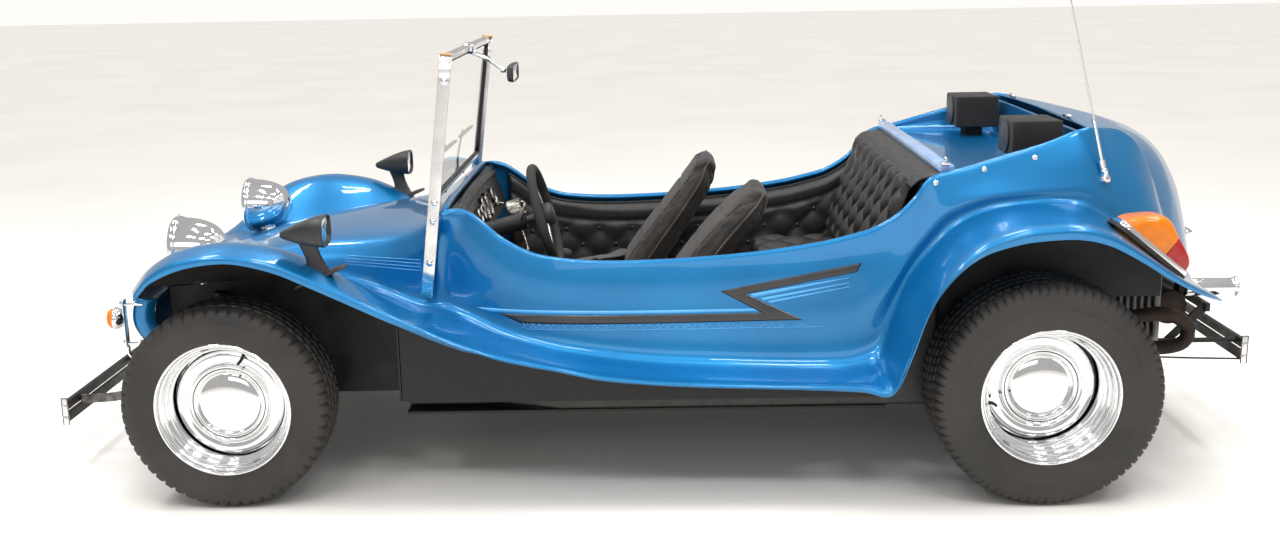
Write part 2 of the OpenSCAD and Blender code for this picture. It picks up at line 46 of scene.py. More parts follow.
def new_material(name, colour, roughness, metallic=0.0, **more):
    """Material with one Principled shader, its tree and the shader; `more` sets its other sockets."""
    made = bpy.data.materials.new(name)
    made.use_nodes = True
    shader = made.node_tree.nodes["Principled BSDF"]
    sockets = {"base_color": (*colour, 1), "roughness": roughness, "metallic": metallic, **more}
    for key, value in sockets.items():
        shader.inputs[key.replace("_", " ").title().replace("Ior", "IOR")].default_value = value
    return made, made.node_tree, shader


def texture(tree, kind, scale, stretch=(1, 1, 1), **values):
    """Texture node on the piece's own coordinates in metres, at `scale` features a metre."""
    place = tree.nodes.new("ShaderNodeTexCoord")
    turn = tree.nodes.new("ShaderNodeMapping")
    turn.inputs["Scale"].default_value = stretch
    made = tree.nodes.new("ShaderNodeTex" + kind)
    made.inputs["Scale"].default_value = scale
    for key, value in values.items():
        if key.title() in made.inputs:
            made.inputs[key.title()].default_value = value
        else:
            setattr(made, key, value)
    tree.links.new(place.outputs["Object"], turn.inputs["Vector"])
    tree.links.new(turn.outputs["Vector"], made.inputs["Vector"])
    return made.outputs[0]


def tones(tree, source, stops):
    """Colour ramp over a source, from (place, colour) stops."""
    ramp = tree.nodes.new("ShaderNodeValToRGB")
    ends = ramp.color_ramp.elements
    while len(ends) < len(stops):
        ends.new(0.5)
    for element, (at, colour) in zip(ends, stops):
        element.position = at
        element.color = (*colour, 1)
    tree.links.new(source, ramp.inputs["Fac"])
    return ramp.outputs["Color"]


def bumped(tree, shader, heights, socket="Normal"):
    """Chains bump nodes, one for each (height, strength, distance), into a normal socket."""
    before = None
    for height, strength, distance in heights:
        bump = tree.nodes.new("ShaderNodeBump")
        bump.inputs["Strength"].default_value = strength
        bump.inputs["Distance"].default_value = distance
        tree.links.new(height, bump.inputs["Height"])
        if before:
            tree.links.new(before, bump.inputs["Normal"])
        before = bump.outputs["Normal"]
    tree.links.new(before, shader.inputs[socket])


def worn(name, dark, light, scale, roughness, metallic=0.0, grain=300.0, depth=0.0003, **more):
    """Material that drifts between two tones and has a fine grain: most of the plain finishes."""
    made, tree, shader = new_material(name, light, roughness[1], metallic, **more)
    drift = texture(tree, "Noise", scale, detail=6.0, roughness=0.6)
    tree.links.new(tones(tree, drift, [(0.35, dark), (0.65, light)]), shader.inputs["Base Color"])
    rough = tones(tree, drift, [(0.3, (roughness[0],) * 3), (0.7, (roughness[1],) * 3)])
    tree.links.new(rough, shader.inputs["Roughness"])
    bumped(tree, shader, [(texture(tree, "Noise", grain, detail=2.0), 0.35, depth)])
    return made


def quads(rows, cols):
    """Corner numbers of a grid's quads; a quad faces along (column step) x (row step)."""
    i, j = np.meshgrid(np.arange(rows - 1), np.arange(cols - 1), indexing="ij")
    first = i * cols + j
    return np.stack([first, first + 1, first + cols + 1, first + cols], -1).reshape(-1, 4)


def grid_object(name, grids, material, merge=0.0, outwards=True):
    """One mesh object from grids of points (rows, columns, 3); merge joins their seams and poles."""
    points, faces, count = [], [], 0
    for grid in grids:
        points.append(grid.reshape(-1, 3))
        faces.append(quads(*grid.shape[:2]) + count)
        count += len(points[-1])
    mesh = bpy.data.meshes.new(name)
    mesh.from_pydata(np.concatenate(points).tolist(), [], np.concatenate(faces).tolist())
    made = bmesh.new()
    made.from_mesh(mesh)
    if merge:
        bmesh.ops.remove_doubles(made, verts=made.verts, dist=merge)
    if outwards:
        bmesh.ops.recalc_face_normals(made, faces=made.faces)
    for face in made.faces:
        face.smooth = True
    made.to_mesh(mesh)
    made.free()
    mesh.materials.append(material)
    obj = bpy.data.objects.new(name, mesh)
    bpy.context.scene.collection.objects.link(obj)
    return obj


floor_paint, tree, shader = new_material("studio_floor", (0.8, 0.78, 0.75), 0.55)
shader.inputs["Specular IOR Level"].default_value = 0.08
patches = texture(tree, "Noise", 0.8, detail=2.0)
tree.links.new(tones(tree, patches, [(0.3, (0.86, 0.835, 0.80)), (0.7, (0.91, 0.885, 0.85))]),
               shader.inputs["Base Color"])
floor_reach = np.linspace(-40, 40, 3)
floor = grid_object("studio_floor", [np.stack(np.meshgrid(floor_reach, floor_reach, [0.0]), -1)[:, :, 0]],
                    floor_paint, outwards=False)

world = bpy.data.worlds.new("studio")
bpy.context.scene.world = world
world.use_nodes = True
tree = world.node_tree
tree.nodes.clear()
seen, lit = tree.nodes.new("ShaderNodeBackground"), tree.nodes.new("ShaderNodeBackground")
seen.inputs["Color"].default_value = (1.0, 0.985, 0.96, 1)
seen.inputs["Strength"].default_value = 1.0
lit.inputs["Color"].default_value = (1.0, 0.985, 0.96, 1)
lit.inputs["Strength"].default_value = 0.5
ray = tree.nodes.new("ShaderNodeLightPath")
either, mix = tree.nodes.new("ShaderNodeMath"), tree.nodes.new("ShaderNodeMixShader")
either.operation = "MAXIMUM"
tree.links.new(ray.outputs["Is Camera Ray"], either.inputs[0])
tree.links.new(ray.outputs["Is Transmission Ray"], either.inputs[1])
tree.links.new(either.outputs[0], mix.inputs["Fac"])
tree.links.new(lit.outputs[0], mix.inputs[1])
tree.links.new(seen.outputs[0], mix.inputs[2])
tree.links.new(mix.outputs[0], tree.nodes.new("ShaderNodeOutputWorld").inputs["Surface"])


def lamp_panel(name, at, size, power):
    """Rectangular lamp aimed at the middle of the car."""
    data = bpy.data.lights.new(name, "AREA")
    data.shape, data.size, data.size_y, data.energy = "RECTANGLE", size[0], size[1], power
    made = bpy.data.objects.new(name, data)
    bpy.context.scene.collection.objects.link(made)
    aim = Vector((0, 0, 0.5)) - Vector(at)
    made.matrix_world = Matrix.Translation(at) @ aim.to_track_quat("-Z", "Y").to_matrix().to_4x4()


# pairs of fluorescent tubes in rows, a wide soft bank at the side and an even wash from straight above
for forward in (-3.0, -1.0, 1.0, 3.0):
    for aside in (-1.6, 0.9, 3.4):
        for gap in (-0.13, 0.13):
            lamp_panel(f"tube_{forward}_{aside}_{gap}", (forward, aside + gap, 4.4), (1.1, 0.11), 13)
lamp_panel("side_fill", (0.5, 7.5, 3.4), (5.0, 2.0), 48)
wash = bpy.data.lights.new("ceiling_wash", "SUN")
wash.energy, wash.angle, wash.color = 1.7, 1.1, (1.0, 0.975, 0.94)
ceiling = bpy.data.objects.new("ceiling_wash", wash)
ceiling.visible_glossy = False
bpy.context.scene.collection.objects.link(ceiling)

# camera on the left side: place, then yaw, pitch and roll in degrees
camera_at = (-0.030, 4.548, 1.559)
yaw, pitch, roll = (math.radians(a) for a in (-0.75, 12.94, -1.06))
up = Vector((0, 0, 1))
level = Vector((-math.sin(yaw), -math.cos(yaw), 0))
look = level * math.cos(pitch) - up * math.sin(pitch)
top = up * math.cos(pitch) + level * math.sin(pitch)
right = level.cross(up)
right, top = right * math.cos(roll) + top * math.sin(roll), top * math.cos(roll) - right * math.sin(roll)
camera_data = bpy.data.cameras.new("camera")
camera_data.sensor_width, camera_data.lens = 36.0, 38.5
camera = bpy.data.objects.new("camera", camera_data)
camera.matrix_world = Matrix.Translation(camera_at) @ Matrix((right, top, -look)).transposed().to_4x4()
bpy.context.scene.collection.objects.link(camera)
bpy.context.scene.camera = camera
bpy.context.scene.view_settings.view_transform = "Standard"

# ---------------------------------------------------------------- moulded body
# Hand-laid glass-fibre shell in one moulding: nose, bonnet, flares, sides and tail. Blue gelcoat with fine
# metal flake under a clear top coat; the skin is 6 mm thick and its cockpit edge is rolled over.


def curve_at(points, u):
    """Smooth curve through a list of points, each passed with the slope between its two neighbours."""
    last = len(points) - 1
    i = np.minimum(np.floor(u).astype(int), last - 1)
    t = (u - i).reshape((-1,) + (1,) * (points.ndim - 1))
    a, b, c, d = (points[np.clip(i + k, 0, last)] for k in (-1, 0, 1, 2))
    return b + 0.5 * t * ((c - a) + t * ((2 * a - 5 * b + 4 * c - d) + t * (3 * (b - c) + d - a)))


def refine(points, steps, axis=0):
    """The array of points with `steps` smooth steps between neighbours along an axis."""
    moved = np.moveaxis(np.asarray(points, float), axis, 0)
    count = (len(moved) - 1) * steps + 1
    return np.moveaxis(curve_at(moved, np.linspace(0, len(moved) - 1, count)), 0, axis)


# sections of the left half in millimetres; ahead of the cowl the first pair is the bonnet's shoulder, and
# behind it the cockpit's rim:  x top, x lip, crown, then y, z of shoulder, flank, valley, crest, outer, lip
BODY = (
    ( 1632,  1632,  572, (280, 586), (355, 594), (425, 604), (600, 640), (742, 660), (752, 642)),
    ( 1560,  1560,  606, (285, 612), (358, 616), (425, 622), (600, 700), (745, 710), (758, 688)),
    ( 1470,  1470,  634, (285, 632), (356, 620), (424, 628), (608, 744), (748, 746), (762, 718)),
    ( 1380,  1380,  663, (280, 652), (352, 626), (420, 634), (613, 770), (750, 764), (765, 738)),
    ( 1270,  1270,  697, (275, 685), (348, 648), (415, 642), (618, 784), (752, 775), (766, 750)),
    ( 1177,  1177,  728, (276, 708), (350, 664), (415, 642), (622, 783), (754, 772), (767, 749)),
    ( 1060,  1060,  746, (288, 728), (366, 682), (424, 640), (628, 764), (756, 749), (768, 722)),
    (  950,   950,  759, (308, 741), (394, 690), (444, 628), (633, 716), (758, 701), (769, 673)),
    (  850,   850,  770, (334, 752), (424, 700), (468, 606), (634, 656), (760, 652), (770, 626)),
    (  767,   767,  784, (364, 768), (450, 712), (486, 582), (628, 604), (762, 610), (771, 586)),
    (  700,   700,  812, (398, 794), (476, 734), (496, 568), (612, 566), (764, 578), (771, 556)),
    (  640,   640,  852, (446, 836), (496, 770), (502, 572), (590, 548), (766, 552), (772, 529)),
    (  605,   605,  872, (500, 858), (503, 770), (506, 586), (576, 536), (767, 536), (773, 514)),
    (  540,   540, None, (517, 850), (528, 760), (532, 592), (576, 520), (769, 508), (774, 489)),
    (  487,   487, None, (532, 816), (546, 732), (552, 592), (586, 502), (770, 489), (775, 476)),
    (  430,   430, None, (550, 770), (566, 694), (573, 582), (602, 484), (772, 471), (776, 457)),
    (  344,   344, None, (574, 729), (589, 666), (597, 566), (622, 464), (774, 451), (777, 437)),
    (  256,   256, None, (593, 713), (606, 654), (613, 558), (637, 448), (776, 433), (779, 420)),
    (  138,   138, None, (607, 706), (619, 646), (626, 551), (648, 434), (778, 409), (780, 394)),
    (  -10,   -10, None, (614, 708), (626, 646), (633, 548), (655, 421), (780, 393), (782, 379)),
    ( -156,  -156, None, (616, 715), (629, 652), (636, 548), (658, 414), (781, 385), (783, 370)),
    ( -332,  -332, None, (616, 730), (631, 662), (638, 552), (660, 408), (783, 378), (785, 364)),
    ( -500,  -490, None, (614, 753), (632, 682), (641, 564), (664, 406), (790, 376), (795, 360)),
    ( -590,  -610, None, (612, 773), (632, 700), (645, 578), (672, 412), (806, 378), (815, 359)),
    ( -655,  -690, None, (610, 791), (632, 716), (648, 602), (664, 450), (835, 380), (850, 360)),
    ( -705,  -735, None, (607, 816), (630, 740), (648, 650), (656, 560), (846, 480), (860, 470)),
    ( -745,  -780, None, (604, 843), (627, 776), (645, 716), (652, 655), (848, 606), (861, 590)),
    ( -785,  -845, None, (601, 884), (622, 830), (640, 782), (650, 735), (848, 712), (861, 690)),
    ( -830,  -925, None, (598, 938), (617, 890), (636, 846), (650, 805), (848, 785), (862, 757)),
    ( -930, -1025, None, (594, 964), (613, 923), (634, 885), (652, 848), (848, 826), (862, 790)),
    (-1040, -1115, None, (589, 996), (610, 948), (634, 900), (656, 862), (848, 838), (862, 801)),
    (-1160, -1195, None, (584, 1030), (608, 975), (634, 910), (658, 864), (847, 838), (861, 801)),
    (-1285, -1275, None, (560, 1072), (598, 990), (630, 905), (658, 848), (845, 816), (858, 782)),
    (-1385, -1360, None, (490, 1061), (560, 960), (612, 850), (655, 788), (838, 766), (850, 738)),
    (-1455, -1440, None, (462, 1030), (538, 914), (598, 800), (648, 730), (826, 712), (838, 688)),
    (-1512, -1515, None, (450, 938), (520, 838), (584, 740), (636, 680), (808, 664), (818, 646)),
    (-1562, -1580, None, (442, 808), (500, 742), (560, 686), (614, 645), (782, 630), (790, 616)),
    (-1605, -1625, None, (434, 700), (480, 668), (530, 640), (580, 616), (748, 606), (752, 597)),
    (-1640, -1652, None, (426, 604), (468, 600), (512, 596), (560, 594), (704, 590), (706, 584)),
)
cowl_row = 12
lip_share = np.array([0, 0.2, 0.45, 0.75, 0.97, 1])
nose_sweep, sweep_ends_x, flare_y = 0.165, 1.1, 0.765
skin = 0.006
mirror_y = np.array([1.0, -1.0, 1.0])


def swept(points):
    """Moves the front corners back: by the sweep at the outer edge of the nose, by nothing at its end."""
    x, y = points[..., 0].copy(), points[..., 1]
    ramp = np.clip((x - sweep_ends_x) / (BODY[0][0] / 1000 - sweep_ends_x), 0, None)
    points[..., 0] = x - nose_sweep * np.abs(y / flare_y) ** 2.2 * ramp**1.5
    return points


pairs = np.array([row[3:] for row in BODY]) / 1000
tops, lips = (np.array([row[k] for row in BODY])[:, None] / 1000 for k in (0, 1))
half = swept(np.concatenate([(tops + (lips - tops) * lip_share)[..., None], pairs], -1))
crown_line = np.array([(row[0], 0, row[2]) for row in BODY[: cowl_row + 1]]) / 1000
along, across = 7, 8
long_half = refine(half, along)
cowl = cowl_row * along
side = refine(long_half[cowl:], across, 1)
nose_half = long_half[: cowl + 1]
nose = np.concatenate([nose_half[:, ::-1] * mirror_y, refine(crown_line, along)[:, None], nose_half], 1)
nose = refine(nose, across, 1)
# the side starts on the nose's last section and eases into its own shape
step = nose[-1, 7 * across :] - side[0]
side[:8] += step * (np.linspace(1, 0, 8) ** 2)[:, None, None]


def rolled_edge(rim, radius):
    """Half-round edge that starts up from the rim's points and curls over into the cockpit."""
    turn = np.linspace(0.3, 3.6, 9)
    inwards = radius[:, None] * (1 - np.cos(turn))
    rise = radius[:, None] * (np.sin(turn) - math.sin(0.3))
    roll_grid = np.repeat(rim[:, None], len(turn), 1)
    roll_grid[..., 1] -= inwards
    roll_grid[..., 2] += rise
    return roll_grid


rim = side[:, 1]
edge_r = np.interp(-rim[:, 0], [-0.60, -0.56, 1.28, 1.34], [0.004, 0.011, 0.011, 0.005])
side = np.concatenate([rolled_edge(rim, edge_r)[:, ::-1], side[:, 1:]], 1)
cowl_edge = nose[-1, 5 * across : -5 * across]
cowl_fold = cowl_edge + np.array([(0, 0, 0), (-0.004, 0, -0.002), (-0.006, 0, -0.008),
                                  (-0.006, 0, -0.022)])[:, None]

# front face between the fenders: falls from the bonnet's front edge, a little bowed, and returns at its
# ends
nose_y = np.concatenate([[-0.452, -0.452], np.linspace(-0.447, 0.447, 41), [0.452, 0.452]])
back = np.concatenate([[0.07, 0.012], np.zeros(41), [0.012, 0.07]])
fall = np.linspace(0, 1, 15)[:, None]
front_x = 1.606 - 0.02 * (nose_y / 0.45) ** 2 - back + 0.018 * np.sin(np.pi * fall) - 0.05 * fall**3
front_z = 0.592 - 0.012 * (nose_y / 0.45) ** 2 - (0.168 - 0.3 * back) * fall
front_face = np.stack(np.broadcast_arrays(front_x, nose_y, front_z), -1)

# luggage tray: a tub hung from the rim, its walls falling to a flat floor with rounded corners
tray_floor, tray_front, tray_rear, corner = 0.941, -0.872, -1.276, 0.045


def rounded_outline(low, high, radius, steps=8):
    """Rounded rectangle in plan, counter-clockwise, closed on its first point."""
    turn = np.linspace(0, np.pi / 2, steps)
    ring = np.stack([np.cos(turn), np.sin(turn)], -1) * radius
    corners = [((1, 1), ring), ((0, 1), ring[:, ::-1] * (-1, 1)), ((0, 0), -ring),
               ((1, 0), ring[:, ::-1] * (1, -1))]
    spots = []
    for (a, b), arc in corners:
        centre = (high[0] - radius if a else low[0] + radius, high[1] - radius if b else low[1] + radius)
        spots.append(arc + centre)
    return np.concatenate(spots + [spots[0][:1]])


tray_rows = []
for inset, drop in ((0, 0), (0, 0.06), (0.002, 0.5), (0.006, 0.85), (0.014, 0.96), (0.03, 1), (0.15, 1),
                    (0.15, 1)):
    edge = rounded_outline((tray_rear + inset, -1 + inset / 0.56), (tray_front - inset, 1 - inset / 0.56),
                           corner)
    half_width = np.interp(-edge[:, 0], -rim[:, 0], rim[:, 1] - 2 * edge_r) + 0.001
    height = np.interp(-edge[:, 0], -rim[:, 0], rim[:, 2]) - 0.004
    level_z = height + (tray_floor - height) * drop
    tray_rows.append(np.stack([edge[:, 0], edge[:, 1] * half_width, level_z], -1))
tray_rows[-1] = tray_rows[-1] * 0 + tray_rows[-1].mean(0)
tray = np.array(tray_rows)


def gelcoat(name):
    """Blue gelcoat: flakes are tiny cells of differing tone and tilt, under a glossy clear coat."""
    made, tree, shader = new_material(name, (0.0, 0.18, 0.48), 0.34, 0.6, coat_weight=0.75,
                                      coat_roughness=0.015)
    flakes = texture(tree, "Voronoi", 700.0)
    sparkle = tree.nodes.new("ShaderNodeMixRGB")
    sparkle.blend_type = "OVERLAY"
    sparkle.inputs["Fac"].default_value = 0.06
    broad = texture(tree, "Noise", 2.5, detail=5.0)
    tree.links.new(tones(tree, broad, [(0.3, (0.0, 0.15, 0.38)), (0.7, (0.0, 0.21, 0.50))]),
                   sparkle.inputs["Color1"])
    cells = flakes.node.outputs["Color"]
    tree.links.new(cells, sparkle.inputs["Color2"])
    tree.links.new(sparkle.outputs["Color"], shader.inputs["Base Color"])
    bumped(tree, shader, [(flakes, 0.06, 0.0005)])
    bumped(tree, shader, [(texture(tree, "Noise", 30.0, detail=2.0), 0.05, 0.002)], "Coat Normal")
    return made


def ride(obj, body, slot, *stands_for):
    """Declares a piece: the body it rides on and the CAD nodes it stands for, which it hides; slot is not used.
    """
    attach(obj, body)
    if stands_for:
        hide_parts(*stands_for)
    return obj


def modifier(obj, kind, **settings):
    """Adds a modifier; a subdivision renders at its viewport level."""
    made = obj.modifiers.new(kind.title(), kind)
    for key, value in settings.items():
        setattr(made, key, value)
    if kind == "SUBSURF":
        made.render_levels = made.levels
    return made


blue_gelcoat = gelcoat("blue_gelcoat")
body = grid_object("body_moulding",
                   [nose, side, (side * mirror_y)[:, ::-1], cowl_fold[::-1, ::-1], front_face[:, ::-1]],
                   blue_gelcoat, merge=0.0005, outwards=False)
modifier(body, "SOLIDIFY", thickness=skin, offset=-1.0)
ride(body, "chassis", "blue_gelcoat", "body_nose", "body_side_left", "body_side_right")
tub = grid_object("luggage_tray", [tray[:, ::-1]], blue_gelcoat, merge=0.0005, outwards=False)
modifier(tub, "SOLIDIFY", thickness=0.004, offset=-1.0)
ride(tub, "chassis", "blue_gelcoat", "luggage_tub")

# ---------------------------------------------------------------- engine lid
# Separate moulding over the rear engine, hinged at the tray's rear edge and closed by a handle at its foot.
LID = (
    (-1298, 1078, (-1298, 549, 1069)),
    (-1396, 1066, (-1378, 490, 1060)),
    (-1486, 1048, (-1430, 468, 1044)),
    (-1572, 1018, (-1470, 457, 1010)),
    (-1638, 978, (-1496, 451, 970)),
    (-1694, 918, (-1520, 447, 918)),
    (-1744, 825, (-1549, 442, 840)),
    (-1774, 722, (-1578, 437, 768)),
    (-1789, 645, (-1608, 431, 690)),
    (-1795, 590, (-1640, 423, 608)),
)
lid_gap = 0.014
edges = np.array([row[2] for row in LID]) / 1000 - (0, lid_gap, 0)
mids = np.array([(row[0], 0, row[1]) for row in LID]) / 1000
bows = np.stack([edges[:, 0] * 0.45 + mids[:, 0] * 0.55, edges[:, 1] * 0.66,
                 edges[:, 2] * 0.4 + mids[:, 2] * 0.6], -1)
lid_rows = np.stack([edges * mirror_y, bows * mirror_y, mids, bows, edges], 1)
lid_grid = refine(refine(lid_rows, 8), 12, 1)
tuck = np.array([(0.0, -0.002, -0.004), (0.0, -0.002, -0.016)])[:, None]
left_edge = np.moveaxis(lid_grid[:, -1] + tuck, 0, 1)
lid_grid = np.concatenate([left_edge[:, ::-1] * mirror_y, lid_grid, left_edge], 1)
lid = grid_object("engine_lid_moulding", [lid_grid], blue_gelcoat, outwards=False)
modifier(lid, "SOLIDIFY", thickness=0.005, offset=-1.0)
ride(lid, "lid", "blue_gelcoat", "engine_lid")


def lathe(profile, at, axis, count=32):
    """Turned surface: rows follow (radius, height) pairs, columns go once round `axis` from `at`."""
    profile = np.asarray(profile, float)
    axis = np.asarray(axis, float) / np.linalg.norm(axis)
    side_way = np.cross(axis, (0, 0, 1) if abs(axis[2]) < 0.9 else (1, 0, 0))
    side_way /= np.linalg.norm(side_way)
    other = np.cross(axis, side_way)
    turn = np.linspace(0, 2 * np.pi, count + 1)[None, :, None]
    ring = np.cos(turn) * side_way + np.sin(turn) * other
    return np.asarray(at) + profile[:, :1, None] * ring + profile[:, 1:, None] * axis


def tube(path, radius, count=12, steps=6):
    """Round tube along a smooth path, its ends closed; radius may differ from point to point."""
    line = refine(path, steps)
    radius = np.interp(np.linspace(0, 1, len(line)), np.linspace(0, 1, np.size(radius)),
                       np.atleast_1d(radius))
    way = np.gradient(line, axis=0)
    way /= np.linalg.norm(way, axis=1)[:, None]
    hint = np.array((0.12, 0.31, 0.94)) if abs(way[:, 2]).mean() < 0.8 else np.array((0.95, 0.3, 0.1))
    first = np.cross(way, hint)
    first /= np.linalg.norm(first, axis=1)[:, None]
    second = np.cross(way, first)
    turn = np.linspace(0, 2 * np.pi, count + 1)[None, :, None]
    ring = np.cos(turn) * first[:, None] + np.sin(turn) * second[:, None]
    walls = line[:, None] + radius[:, None, None] * ring
    ends = [np.repeat(line[k][None, None], count + 1, 1) for k in (0, -1)]
    return np.concatenate([ends[0], walls, ends[1]])


def both(grids):
    """The grids and their mirror images on the other side of the car."""
    return list(grids) + [grid * mirror_y for grid in grids]


chrome = worn("chrome", (0.78, 0.79, 0.8), (0.88, 0.885, 0.9), 6.0, (0.05, 0.09), 1.0, 90.0, 0.00005)
handle = [tube([(-1.775, 0.07, 0.66), (-1.80, 0.068, 0.66), (-1.812, 0.03, 0.658), (-1.812, -0.03, 0.658),
                (-1.80, -0.068, 0.66), (-1.775, -0.07, 0.66)], 0.006)]
handle += [lathe([(0, 0.004), (0.013, 0.003), (0.015, -0.004)], (-1.779, y, 0.66), (-1, 0, 0.1))
           for y in (0.07, -0.07)]
ride(grid_object("lid_handle", handle, chrome, 0.0002), "lid", "chrome")
hinge_knuckles = [lathe([(0, -0.032), (0.0065, -0.031), (0.0065, 0.031), (0, 0.032)], (-1.296, y, 1.083),
                        (0, 1, 0), 16)
                  for y in (0.33, -0.33)]
ride(grid_object("lid_hinges", hinge_knuckles, chrome, 0.0002), "lid", "chrome")

# ---------------------------------------------------------------- stripes on the flanks
# Cut vinyl film on both flanks: a black zig-zag band, a pale blue line over it, three pale bands behind its
# point, a strip of fine criss-cross lines below and faint pinstripes along the bonnet.
left_rows = refine(long_half, across, 1)


def flank_y(x, z, cols):
    """Distance of the left flank's skin from the centre plane at x, z, between two columns of pairs."""
    rows = left_rows[:, cols[0] * across : cols[1] * across + 1]
    place = np.interp(-x, -rows[:, 0, 0], np.arange(len(rows)))
    i = np.clip(place.astype(int), 0, len(rows) - 2)
    f = (place - i)[:, None]
    level_z = rows[i, :, 2] * (1 - f) + rows[i + 1, :, 2] * f
    level_y = rows[i, :, 1] * (1 - f) + rows[i + 1, :, 1] * f
    k = np.clip((level_z > z[:, None]).sum(1) - 1, 0, level_z.shape[1] - 2)
    n = np.arange(len(x))
    g = np.clip((level_z[n, k] - z) / (level_z[n, k] - level_z[n, k + 1]), 0, 1)
    return level_y[n, k] * (1 - g) + level_y[n, k + 1] * g


def film(upper, lower, steps=24, wide=3, lift=0.0008, cols=(0, 3)):
    """Strip of film between two lines of (x, z) corners in millimetres, laid on the left flank."""
    ends = [np.array([[np.interp(np.linspace(0, len(line) - 1, steps * (len(line) - 1) + 1),
                                 np.arange(len(line)),
                                 np.array(line)[:, axis]) for axis in (0, 1)]])[0] / 1000
            for line in (upper, lower)]
    share = np.linspace(0, 1, wide + 1)[:, None]
    x = ends[0][0] * (1 - share) + ends[1][0] * share
    z = ends[0][1] * (1 - share) + ends[1][1] * share
    y = flank_y(x.ravel(), z.ravel(), cols).reshape(x.shape) + lift
    return np.stack([x, y, z], -1)


def film_piece(name, strips, material, slot):
    """Both flanks' copies of some strips as one piece, 0.3 mm thick."""
    made = grid_object(name, [s[::-1] for s in strips] + [s * mirror_y for s in strips], material,
                       outwards=False)
    modifier(made, "SOLIDIFY", thickness=0.0003, offset=-1.0)
    return ride(made, "chassis", slot)


black_film = worn("black_film", (0.018, 0.018, 0.02), (0.032, 0.03, 0.032), 9.0, (0.25, 0.4), grain=500.0,
                  depth=0.0001, coat_weight=0.4, coat_roughness=0.1)
pale_film = worn("pale_film", (0.05, 0.33, 0.72), (0.09, 0.42, 0.80), 5.0, (0.25, 0.35), grain=500.0,
                 depth=0.0001, coat_weight=0.5, coat_roughness=0.08)
zigzag = film([(445, 546), (-335, 553), (-213, 619), (-629, 698)],
              [(379, 519), (-458, 530), (-290, 609), (-613, 671)],
              steps=40, wide=4)
film_piece("zigzag_band", [zigzag], black_film, "blue_gelcoat")
pale = [film([(520, 560), (-325, 566)], [(470, 549), (-337, 557)], 60, 2)]
for x0, z0, z1, width in ((-300, 603, 655, 12), (-332, 592, 640, 9), (-352, 584, 628, 6)):
    pale.append(film([(x0, z0 + width / 2), (-592, z1 + 1)], [(x0 - 8, z0 - width / 2), (-592, z1 - 1)], 30,
                     2))
film_piece("pale_bands", pale, pale_film, "blue_gelcoat")
draws = np.random.default_rng(4)
lines = []
for x in np.arange(366, -480, -23):
    for lean in (draws.uniform(-34, -8), draws.uniform(8, 34)):
        x0 = x + draws.uniform(-8, 8)
        lines.append(film([(x0 + 1.2, 521), (x0 + lean + 1.2, 503)],
                          [(x0 - 1.2, 521), (x0 + lean - 1.2, 503)], 5, 1, 0.0012))
lines.append(film([(366, 504.5), (-520, 511)], [(366, 502), (-520, 509)], 60, 1, 0.0012))
film_piece("cross_hatching", lines, pale_film, "blue_gelcoat")
pins = [film([(940, 672 + 8 * k), (690, 664 + 11 * k)], [(940, 670.6 + 8 * k), (690, 661.5 + 11 * k)], 24,
             1, cols=(0, 2))
        for k in range(4)]
film_piece("bonnet_pinstripes", pins, pale_film, "blue_gelcoat")

# ---------------------------------------------------------------- lamps
# Chrome bullet headlights on the bonnet with fluted glass, chrome-backed amber indicators on flat
# brackets and wedge tail lamps moulded in amber over red, each on a dark gasket with a chrome rim.


def glass(name, colour, roughness, ribs, across_ribs=(0, 1, 0), transmission=1.0, **more):
    """Clear or tinted moulded lens with pressed ribs, as many a metre as `ribs`."""
    made, tree, shader = new_material(name, colour, roughness, 0.0, transmission_weight=transmission,
                                      ior=1.5, coat_weight=0.3, coat_roughness=0.05, **more)
    wave = texture(tree, "Wave", ribs / 6.283, stretch=across_ribs)
    speck = texture(tree, "Noise", 40.0, detail=3.0)
    tree.links.new(tones(tree, speck, [(0.3, tuple(c * 0.82 for c in colour)), (0.7, colour)]),
                   shader.inputs["Base Color"])
    bumped(tree, shader, [(wave, 0.5, 0.0012), (speck, 0.1, 0.0002)])
    return made


lamp_at = np.array((1.452, 0.388, 0.728))
bowl = [(0, -0.148), (0.014, -0.147), (0.034, -0.14), (0.054, -0.126), (0.07, -0.106), (0.082, -0.08),
        (0.089, -0.05),
        (0.0925, -0.02), (0.0935, -0.011), (0.096, -0.010), (0.0975, -0.004), (0.097, 0.004),
        (0.094, 0.009),
        (0.089, 0.012), (0.086, 0.008), (0.084, -0.008), (0.06, -0.05), (0.03, -0.075), (0, -0.082)]
bowl = refine(bowl, 3)
stalk = lathe([(0.034, -0.112), (0.032, -0.104), (0.023, -0.092), (0.02, -0.075), (0.022, -0.04),
               (0.0, -0.03)],
              lamp_at - (0.058, 0, 0), (0, 0, 1), 28)
screw = lathe([(0, 0.104), (0.004, 0.1035), (0.0045, 0.098), (0.0, 0.09)], lamp_at + (-0.006, 0, 0),
              (0, 0, 1), 12)
ride(grid_object("headlight_shells", both([lathe(bowl, lamp_at, (1, 0, 0), 56), stalk, screw]), chrome,
                 0.0002),
     "chassis", "chrome", "headlights")
lens_profile = refine([(0, 0.026), (0.03, 0.024), (0.058, 0.018), (0.078, 0.011), (0.087, 0.005),
                       (0.0868, -0.002), (0.075, 0.004), (0.05, 0.013), (0, 0.02)], 3)
lamp_glass = glass("lamp_glass", (0.93, 0.95, 0.97), 0.04, 900.0)
ride(grid_object("headlight_glass", both([lathe(lens_profile, lamp_at, (1, 0, 0), 56)]), lamp_glass,
                 0.0002),
     "chassis", "lamp_glass", "headlight_lenses")
